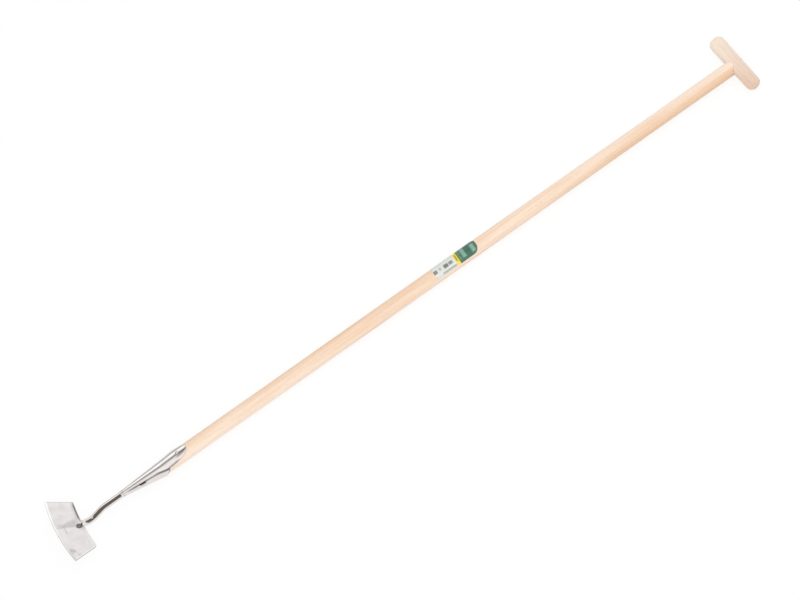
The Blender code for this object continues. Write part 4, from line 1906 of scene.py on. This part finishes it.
    def build(self) -> bpy.types.Object:
        """Build the rolled sheet with rounded edges and the hole in its tongue.

        Returns:
            The sheet.
        """
        grid: Grid = []
        for share, rim_x in self.columns():
            row = []
            for x in self.stations(rim_x):
                low = self.low_edge(x)
                high = self.high_edge(x)
                angle = low + (high - low) * share
                height, hollow = self.bore.at(x)
                inset = edge_inset(self.to_edge(x, angle, rim_x), self.easing)
                spoke = Vector((0, -math.sin(angle), math.cos(angle)))
                centre = Vector((x, 0, height))
                outer = centre + spoke * (hollow + self.sheet - inset)
                row.append((outer, centre + spoke * (hollow + self.inner_easing_share * inset)))
            grid.append(row)
        sheet = make_object("socket_sheet", *sheet_body(grid))
        radius = self.nail_hole_diameter / 2
        profile = [(-self.sheet, radius), (3 * self.sheet, radius)]
        hole = lathe(profile, self.nail_seat, Vector((0, 0, 1)), self.nail_hole_sides)
        cut_out(sheet, make_object("tongue_hole", *hole))
        self.tell_edges(sheet)
        return sheet

    def to_edge(self, x: float, angle: float, rim_x: float) -> float:
        """Give the distance from a place on the sheet to its nearest edge.

        Args:
            x: the place.
            angle: the place, from the panel's edge round to the tongue's.
            rim_x: X of the rim on that line.

        Returns:
            The distance, 0 or less outside the sheet.
        """
        hollow = self.bore.at(x)[1]
        along = rim_x - x
        from_low = (angle - self.low_edge(x)) * hollow
        from_high = (self.high_edge(x) - angle) * hollow
        distance = min(along, from_low, from_high)
        if x > self.tongue_root and along > 0:
            share = min((x - self.tongue_root) / self.tongue_length, 1.0)
            half_angle = self.tongue_half_angle * math.sqrt(1 - share * share)
            aside = (half_angle - abs(angle - 2 * math.pi)) * hollow
            distance = along * aside / math.hypot(along, aside)
        return distance

    def tell_edges(self, sheet: bpy.types.Object) -> None:
        """Write on each vertex how much painted shade lies along the edges there.

        Args:
            sheet: the finished sheet.
        """
        columns = self.columns()
        back = POSE.matrix.inverted()
        shares = []
        for vertex in sheet.data.vertices:
            point = back @ vertex.co
            x = max(point.x, 0.0)
            height, hollow = self.bore.at(x)
            low, high = self.low_edge(x), self.high_edge(x)
            out = math.hypot(point.y, point.z - height) - hollow
            turned = math.atan2(-point.y, point.z - height) % (2 * math.pi)
            edge = 0.0
            for angle in (turned, turned + 2 * math.pi):
                rim_x = self.rim_at(columns, min(max((angle - low) / (high - low), 0.0), 1.0))
                edge = max(edge, self.to_edge(x, angle, rim_x))
            outer = 1.0 if out > self.sheet / 2 else self.painted_edge_shading.inner_share
            shares.append(self.painted_edge_shading.at(x, edge, self.seam_opening.at(x)) * outer)
        attribute = sheet.data.attributes.new(EDGE_SHADE_SHARE, "FLOAT", "POINT")
        attribute.data.foreach_set("value", shares)

    def dress(self) -> None:
        """Build the sheet and give it its steel."""
        stand_in(self.build(), "socket", SOCKET_STEEL.build())


@dataclass
class SocketNail:
    """The nail through the socket's tongue, with a domed head."""

    socket: Socket
    head_diameter: float = 0.0047
    head_height: float = 0.0013
    cheek_share: float = 0.30
    shank_diameter: float = 0.0026
    length: float = 0.0120
    dome_steps: int = 7
    sides: int = 36

    def build(self) -> bpy.types.Object:
        """Build the nail.

        Returns:
            The nail.
        """
        head = self.head_diameter / 2
        shank = self.shank_diameter / 2
        cheek = self.head_height * self.cheek_share
        profile = [
            (-self.length, shank / 5),
            (-self.length + 2 * shank, shank),
            (0.0, shank),
            (0.0, head),
            (cheek, head),
        ]
        for step in range(1, self.dome_steps):
            turn = math.pi / 2 * step / self.dome_steps
            rise = (self.head_height - cheek) * math.sin(turn)
            profile.append((cheek + rise, head * math.cos(turn)))
        return make_object("nail", *lathe(profile, self.socket.nail_seat, Vector((0, 0, 1)), self.sides))

    def dress(self) -> None:
        """Build the nail and give it its metal."""
        stand_in(self.build(), "socket_nail", NAIL_METAL.build())


@dataclass
class SocketWeld:
    """The lumpy ring of weld between the neck and the socket's narrow end."""

    socket: Socket
    neck: Neck
    length: float = 0.0032
    lump_share: float = 0.12
    lump_pitch: float = 0.0046
    steps: int = 9
    sides: int = 64

    def section(self) -> list[tuple[float, float]]:
        """Give the outline of the ring.

        Returns:
            (distance from the socket's narrow end, radius) pairs.
        """
        bore = self.socket.bore
        inner = self.neck.diameter / 2 + bore.clearance
        outer = bore.spigot_radius + bore.clearance + self.socket.sheet
        section = [(bore.clearance, inner), (bore.clearance, outer)]
        for step in range(1, self.steps):
            angle = math.pi / 2 * step / self.steps
            back = bore.clearance + self.length * step / self.steps
            section.append((back, inner + (outer - inner) * math.cos(angle)))
        section.append((bore.clearance + self.length, inner))
        return section

    def build(self) -> bpy.types.Object:
        """Build the ring.

        Returns:
            The weld.
        """
        section = self.section()
        inner = section[0][1]
        rings = []
        for back, radius in section:
            centre = Vector((-back, 0, self.socket.bore.neck_height))
            ring = []
            for point in ring_around(centre, radius, self.sides):
                lump = 0.5 + 0.5 * ripple(point.x, point.y, point.z, self.lump_pitch)
                shrink = self.lump_share * lump * (radius - inner)
                ring.append(point + (centre - point).normalized() * shrink)
            rings.append(ring)
        return make_object("socket_weld", *loft(rings, closed=True))

    def dress(self) -> None:
        """Build the weld and give it its metal."""
        stand_in(self.build(), "socket_weld_bead", BRIGHT_WELD.build())


# Wooden pieces and the label


@dataclass
class Grip:
    """The turned cross piece and the wedge in the shaft's tenon."""

    axis_x: float = 1.373
    length: float = 0.1295
    far_diameter: float = 0.0307
    near_diameter: float = 0.0275
    end_radius: float = 0.0095
    offset: float = 0.0036
    tenon_diameter: float = 0.0180
    wedge_length: float = 0.020
    wedge_thick: float = 0.0028
    wedge_thin: float = 0.0008
    clearance: float = 0.0003
    sides: int = 72
    end_steps: int = 12
    middle_steps: int = 24

    def radius_at(self, y: float) -> float:
        """Give the radius of the grip at a distance across the shaft."""
        share = (y - self.offset) / self.length + 0.5
        return (self.near_diameter + (self.far_diameter - self.near_diameter) * share) / 2

    def surface_x(self, y: float, z: float, side: int, grow: float) -> float:
        """Give X on the grip's surface.

        Args:
            y: the place.
            z: the place.
            side: -1 for the shaft's side, 1 for the outer side.
            grow: a margin on the radius.

        Returns:
            X of the surface.
        """
        radius = self.radius_at(y) + grow
        return self.axis_x + side * math.sqrt(radius * radius - z * z)

    def profile(self) -> list[tuple[float, float]]:
        """Give the grip's outline.

        Returns:
            (Y, radius) pairs, from the near end to the far end.
        """
        near = self.offset - self.length / 2
        far = self.offset + self.length / 2
        near_end = []
        far_end = []
        for step in range(self.end_steps + 1):
            turn = math.pi / 2 * step / self.end_steps
            inset = self.end_radius * (1 - math.sin(turn))
            drop = self.end_radius * (1 - math.cos(turn))
            near_end.append((near + inset, self.radius_at(near + inset) - drop))
            far_end.append((far - inset, self.radius_at(far - inset) - drop))
        low = near_end[0][0]
        high = far_end[0][0]
        middle = []
        for step in range(1, self.middle_steps):
            y = low + (high - low) * step / self.middle_steps
            middle.append((y, self.radius_at(y)))
        return near_end[::-1] + middle + far_end

    def build(self) -> bpy.types.Object:
        """Build the cross piece with the hole for the tenon.

        Returns:
            The grip.
        """
        centre = Vector((self.axis_x, 0, 0))
        piece = make_object("grip_wood", *lathe(self.profile(), centre, Vector((0, 1, 0)), self.sides))
        bore = self.tenon_diameter / 2 + self.clearance
        reach = 2 * self.radius_at(0)
        body = lathe([(-reach, bore), (reach, bore)], centre, Vector((1, 0, 0)), self.sides)
        cut_out(piece, make_object("tenon_bore", *body))
        return piece

    def dress(self) -> None:
        """Build the grip and give it and the wedge their wood."""
        stand_in(self.build(), "grip", GRIP_WOOD.build())
        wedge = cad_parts["grip_wedge"]
        wedge.material_slots[0].material = WEDGE_WOOD.build()
        log.info("grip_wedge keeps its solid and gets its wood")


@dataclass
class Shaft:
    """The long shaft from inside the socket to its tenon in the grip."""

    grip: Grip
    bore: Bore = Bore()
    set_back: float = 0.051
    diameter: float = 0.0300
    top_diameter: float = 0.0273
    taper_start: float = 0.567
    taper_length: float = 0.620
    shoulder_easing: float = 0.0007
    sides: int = 80
    rows: int = 120
    easing_rows: int = 4
    shoulder_rows: int = 6

    def radius_at(self, x: float) -> float:
        """Give the radius of the wood beyond the socket."""
        share = min(max((x - self.set_back - self.taper_start) / self.taper_length, 0.0), 1.0)
        return (self.diameter + (self.top_diameter - self.diameter) * share) / 2

    def coped_ring(self, radius: float, side: int, grow: float) -> list[Vector]:
        """Give the line where a cylinder round the shaft's axis meets the grip's surface.

        Args:
            radius: of the cylinder.
            side: -1 for the shaft's side, 1 for the outer side.
            grow: a margin on the grip's radius.

        Returns:
            Its points.
        """
        ring = []
        for point in ring_around(Vector((0, 0, 0)), radius, self.sides):
            ring.append(Vector((self.grip.surface_x(point.y, point.z, side, grow), point.y, point.z)))
        return ring

    def build(self) -> bpy.types.Object:
        """Build the shaft with its coped shoulder, its tenon and the slot for the wedge.

        Returns:
            The shaft.
        """
        margin = self.bore.clearance
        shoulder = self.grip.axis_x - self.grip.radius_at(0)
        rings = []
        end = self.grip.axis_x - self.grip.far_diameter
        for row in range(self.rows + 1):
            x = self.set_back + (end - self.set_back) * row / self.rows
            height, hollow = self.bore.at(x)
            radius = hollow - margin if x < self.bore.round_start else self.radius_at(x)
            rings.append(ring_around(Vector((x, 0, height)), radius, self.sides))
        end_radius = self.radius_at(shoulder)
        tenon = self.grip.tenon_diameter / 2
        eased = end_radius - self.shoulder_easing
        for step in range(self.easing_rows):
            turn = math.pi / 2 * step / self.easing_rows
            radius = eased + self.shoulder_easing * math.cos(turn)
            grow = margin + self.shoulder_easing * (1 - math.sin(turn))
            rings.append(self.coped_ring(radius, -1, grow))
        for step in range(1, self.shoulder_rows + 1):
            radius = eased + (tenon - eased) * step / self.shoulder_rows
            rings.append(self.coped_ring(radius, -1, margin))
        for share in (1.0, 0.85, 0.65, 0.45, 0.25, 0.1):
            rings.append(self.coped_ring(tenon * share, 1, -margin))
        shaft = make_object("shaft_wood", *loft(rings))
        cut_out(shaft, self.kerf())
        return shaft

    def kerf(self) -> bpy.types.Object:
        """Build the cutter for the sawn slot that the wedge stands in.

        Returns:
            The cutter.
        """
        grip = self.grip
        end = grip.axis_x + grip.radius_at(0)
        low_x = end - grip.wedge_length - 2 * grip.clearance
        high_x = end + grip.wedge_length / 10
        low_half = grip.wedge_thin / 2 + grip.clearance
        slope = (grip.wedge_thick - grip.wedge_thin) / 2 / grip.wedge_length
        high_half = low_half + slope * (high_x - low_x)
        corners = [(low_x, -low_half), (high_x, -high_half), (high_x, high_half), (low_x, low_half)]
        ends = (-grip.tenon_diameter, grip.tenon_diameter)
        return make_object("kerf", *loft([[Vector((x, y, z)) for x, y in corners] for z in ends]))

    def dress(self) -> None:
        """Build the shaft and give it its wood."""
        stand_in(self.build(), "shaft", SHAFT_WOOD.build())


@dataclass
class Label:
    """The printed film round the upper side of the shaft."""

    shaft: Shaft
    place_from_end: float = 0.645
    length: float = 0.0950
    half_angle: float = math.radians(63)
    thickness: float = 0.0003
    low_corner: float = 0.0055
    high_corner: float = 0.0140
    clearance: float = 0.0003
    columns: int = 56
    low_steps: int = 12
    middle_steps: int = 24
    high_steps: int = 24

    @property
    def start(self) -> float:
        """X of its end nearer the blade."""
        return self.shaft.set_back + self.place_from_end

    def distances(self) -> list[float]:
        """Give the places along the label, closer together at its corners.

        Returns:
            The distances from its end nearer the blade.
        """
        places = []
        for step in range(self.low_steps + 1):
            places.append(self.low_corner * (1 - math.cos(math.pi / 2 * step / self.low_steps)))
        inner = self.length - self.high_corner
        for step in range(1, self.middle_steps):
            places.append(self.low_corner + (inner - self.low_corner) * step / self.middle_steps)
        for step in range(self.high_steps + 1):
            places.append(inner + self.high_corner * math.sin(math.pi / 2 * step / self.high_steps))
        return places

    def pulled_in(self, distance: float) -> float:
        """Give how far a rounded corner draws the label's sides in.

        Args:
            distance: from its end nearer the blade.

        Returns:
            The width that is missing at each side.
        """
        ends = ((self.low_corner, distance), (self.high_corner, self.length - distance))
        for corner, from_end in ends:
            if from_end < corner:
                return corner - math.sqrt(max(corner**2 - (corner - from_end) ** 2, 0.0))
        return 0.0

    def build(self) -> bpy.types.Object:
        """Build the film on the wood.

        Returns:
            The label.
        """
        wrap = self.shaft.diameter / 2
        grid: Grid = []
        for distance in self.distances():
            x = self.start + distance
            under = self.shaft.radius_at(x) + self.clearance
            half_angle = self.half_angle - self.pulled_in(distance) / wrap
            row = []
            for column in range(self.columns + 1):
                angle = half_angle * (2 * column / self.columns - 1)
                spoke = Vector((0, -math.sin(angle), math.cos(angle)))
                outer = Vector((x, 0, 0)) + spoke * (under + self.thickness)
                row.append((outer, Vector((x, 0, 0)) + spoke * (under - self.clearance / 2)))
            grid.append(row)
        return make_object("label_film", *sheet_body(grid))

    def dress(self) -> None:
        """Build the label and print it."""
        radius = self.shaft.radius_at(self.start) + self.clearance
        finish = PrintFinish("label print", self.start, radius, LABEL_PRINT)
        stand_in(self.build(), "label", finish.build())


# Studio: floor, light and camera


@dataclass
class Floor:
    """The pale floor, white to the camera and keeping the tool's shadow."""

    size: float = 14.0
    glow: float = 0.86
    shown_share: float = 0.15
    bounce: float = 0.82

    def build(self) -> None:
        """Build the floor."""
        half = self.size / 2
        mesh = bpy.data.meshes.new("floor")
        corners = [(-half, -half, 0), (half, -half, 0), (half, half, 0), (-half, half, 0)]
        mesh.from_pydata(corners, [], [(0, 1, 2, 3)])
        mesh.materials.append(self.build_material())
        link("floor", mesh)

    def build_material(self) -> bpy.types.Material:
        """Make its material.

        Returns:
            The material.
        """
        material, wiring = start_material("pale floor")
        path = wiring.add("ShaderNodeLightPath").outputs
        seen = wiring.larger(path["Is Camera Ray"], path["Is Glossy Ray"])
        seen = wiring.larger(seen, path["Is Transmission Ray"])
        glow = wiring.shader("ShaderNodeEmission", Color=(1.0, 1.0, 1.0), Strength=self.glow)
        shown = wiring.shader("ShaderNodeBsdfDiffuse", Color=(self.shown_share,) * 3)
        bounce = wiring.shader("ShaderNodeBsdfDiffuse", Color=(self.bounce,) * 3)
        both = wiring.add("ShaderNodeAddShader")
        wiring.feed(both.inputs[0], glow)
        wiring.feed(both.inputs[1], shown)
        wiring.end(wiring.choose(seen, bounce, both.outputs[0]))
        return material


@dataclass
class Tent:
    """The white tent round the tool: even light, and pale and dark strips for the metal to reflect.

    Each strip is (angle from straight up towards -Y in degrees, brightness). Towards the grip the strips
    give way to one even brightness, which the blade and the neck's end reflect.
    """

    fill: float = 0.78
    even: float = 1.03
    even_start: Span = Span(0.26, 0.42)
    strips: tuple[tuple[float, float], ...] = (
        (-90.0, 0.38),
        (-74.0, 0.50),
        (-66.0, 0.72),
        (-57.0, 1.28),
        (-38.0, 1.34),
        (-28.0, 1.00),
        (-19.0, 0.36),
        (-8.0, 0.25),
        (1.0, 0.72),
        (12.0, 1.06),
        (45.0, 1.16),
        (90.0, 1.10),
    )
    tint: Rgb = (1.0, 0.995, 0.99)

    def build(self) -> None:
        """Build the world."""
        world = bpy.data.worlds.new("tent")
        bpy.context.scene.world = world
        world.use_nodes = True
        wiring = Wiring(world.node_tree)
        direction = wiring.add("ShaderNodeTexCoord")
        split = wiring.add("ShaderNodeSeparateXYZ")
        wiring.feed(split.inputs[0], direction.outputs["Generated"])
        x, y, z = split.outputs
        angle = wiring.sum(Sum.ANGLE, wiring.scaled(y, -1.0), z)
        ramp = wiring.add("ShaderNodeValToRGB")
        points = ramp.color_ramp.elements
        while len(points) < len(self.strips):
            points.new(0.5)
        for point, (degrees, brightness) in zip(points, self.strips):
            point.position = (degrees + 90) / 180
            point.color = (*(brightness * share for share in self.tint), 1)
        wiring.feed(ramp.inputs[0], wiring.spread(angle, Span(-math.pi / 2, math.pi / 2)))
        strips = wiring.blend(wiring.spread(x, self.even_start), ramp.outputs[0], (self.even,) * 3)
        path = wiring.add("ShaderNodeLightPath").outputs
        shown = wiring.blend(path["Is Glossy Ray"], (self.fill,) * 3, strips)
        plain = wiring.larger(path["Is Camera Ray"], path["Is Transmission Ray"])
        shown = wiring.blend(plain, shown, (1.0, 1.0, 1.0))
        wiring.end(wiring.shader("ShaderNodeBackground", Color=shown), "ShaderNodeOutputWorld")


@dataclass
class NeckCard:
    """A dark card bent along the neck, which only the neck's own reflection shows."""

    neck: Neck
    distance: float = 0.014
    start: float = -0.0868
    end: float = -0.0060
    low_angle: float = math.radians(-10.4)
    high_angle: float = math.radians(73)
    slope_widening: float = math.radians(8)
    reach: float = 0.0124
    fade_start: float = 0.95
    shade: Colour = (112, 104, 98)
    steps: int = 24

    def build(self) -> None:
        """Build the card."""
        vertices = []
        rows = 0
        for centre, heading, _ in self.neck.path():
            if not self.start <= centre.x <= self.end:
                continue
            rows += 1
            upward = Vector((-math.sin(heading), 0, math.cos(heading)))
            wider = self.slope_widening * max(heading, 0.0) / self.neck.descent
            low, high = self.low_angle - wider, self.high_angle + wider
            for step in range(self.steps + 1):
                angle = low + (high - low) * step / self.steps
                spoke = upward * math.cos(angle) + Vector((0, -math.sin(angle), 0))
                vertices.append(tuple(POSE.matrix @ (centre + spoke * self.distance)))
        mesh = bpy.data.meshes.new("neck_card")
        mesh.from_pydata(vertices, [], grid_faces(rows, self.steps + 1))
        mesh.materials.append(self.build_material())
        card = link("neck_card", mesh)
        card.visible_camera = False
        card.visible_diffuse = False
        card.visible_shadow = False
        card.visible_transmission = False

    def build_material(self) -> bpy.types.Material:
        """Make its shade, clear to whatever lies further off than the neck.

        Returns:
            The material.
        """
        material, wiring = start_material("neck card")
        away = wiring.add("ShaderNodeLightPath").outputs["Ray Length"]
        near = wiring.spread(away, Span(self.fade_start * self.reach, self.reach, 1.0, 0.0))
        clear = wiring.shader("ShaderNodeBsdfTransparent")
        glow = wiring.shader("ShaderNodeEmission", Color=linear(self.shade))
        wiring.end(wiring.choose(near, clear, glow))
        return material


@dataclass
class SoftLamp:
    """A large soft lamp above the tool, unseen in the metal."""

    place: tuple[float, float, float]
    watts: float
    size: float = 2.0

    def build(self) -> None:
        """Build the lamp."""
        data = bpy.data.lights.new("soft lamp", "AREA")
        data.shape = "SQUARE"
        data.size = self.size
        data.energy = self.watts
        lamp = link("soft_lamp", data)
        lamp.location = self.place
        lamp.rotation_euler = (-Vector(self.place)).to_track_quat("-Z", "Y").to_euler()
        lamp.visible_glossy = False


@dataclass
class StillCamera:
    """The camera, from above and in front, turned so that the tool lies across the picture."""

    focal_pixels: float = 1900.0
    picture_width: float = 800.0
    metres_per_pixel: float = 0.00184
    target_x: float = 0.618
    target_rise: float = 0.82
    tilt: float = math.radians(30)
    roll: float = math.radians(35.12)
    sensor: float = 36.0
    clip_end: float = 60.0

    def build(self) -> None:
        """Build the camera and make it the scene's."""
        outward = Vector((0, -math.sin(self.tilt), math.cos(self.tilt)))
        along = Vector((1, 0, 0))
        upward = outward.cross(along)
        right = along * math.cos(self.roll) - upward * math.sin(self.roll)
        rise = along * math.sin(self.roll) + upward * math.cos(self.roll)
        target = Vector((self.target_x, 0, 0)) + upward * self.target_rise * self.metres_per_pixel
        place = target + outward * self.focal_pixels * self.metres_per_pixel
        turn = Matrix((
            (right.x, rise.x, outward.x, place.x),
            (right.y, rise.y, outward.y, place.y),
            (right.z, rise.z, outward.z, place.z),
            (0, 0, 0, 1),
        ))
        data = bpy.data.cameras.new("camera")
        data.sensor_width = self.sensor
        data.lens = self.focal_pixels / self.picture_width * self.sensor
        data.clip_end = self.clip_end
        camera = link("camera", data)
        camera.matrix_world = POSE.matrix @ turn
        bpy.context.scene.camera = camera


def main() -> None:
    """Build every piece round the frame, then the studio."""
    logging.basicConfig(level=logging.INFO, format="%(name)s: %(message)s")
    blade = Blade()
    neck = Neck(blade)
    socket = Socket()
    grip = Grip()
    shaft = Shaft(grip)
    head = (blade, neck, NeckWeld(neck))
    middle = (socket, SocketNail(socket), SocketWeld(socket, neck))
    for part in (*head, *middle, shaft, grip, Label(shaft)):
        part.dress()
    lamps = (SoftLamp((0.9, 0.0, 2.3), 11.0), SoftLamp((-0.8, -1.9, 1.3), 11.0))
    for stage in (Floor(), Tent(), NeckCard(neck), *lamps, StillCamera()):
        stage.build()
    bpy.context.scene.view_settings.view_transform = "Standard"


if __name__ == "__main__":
    main()
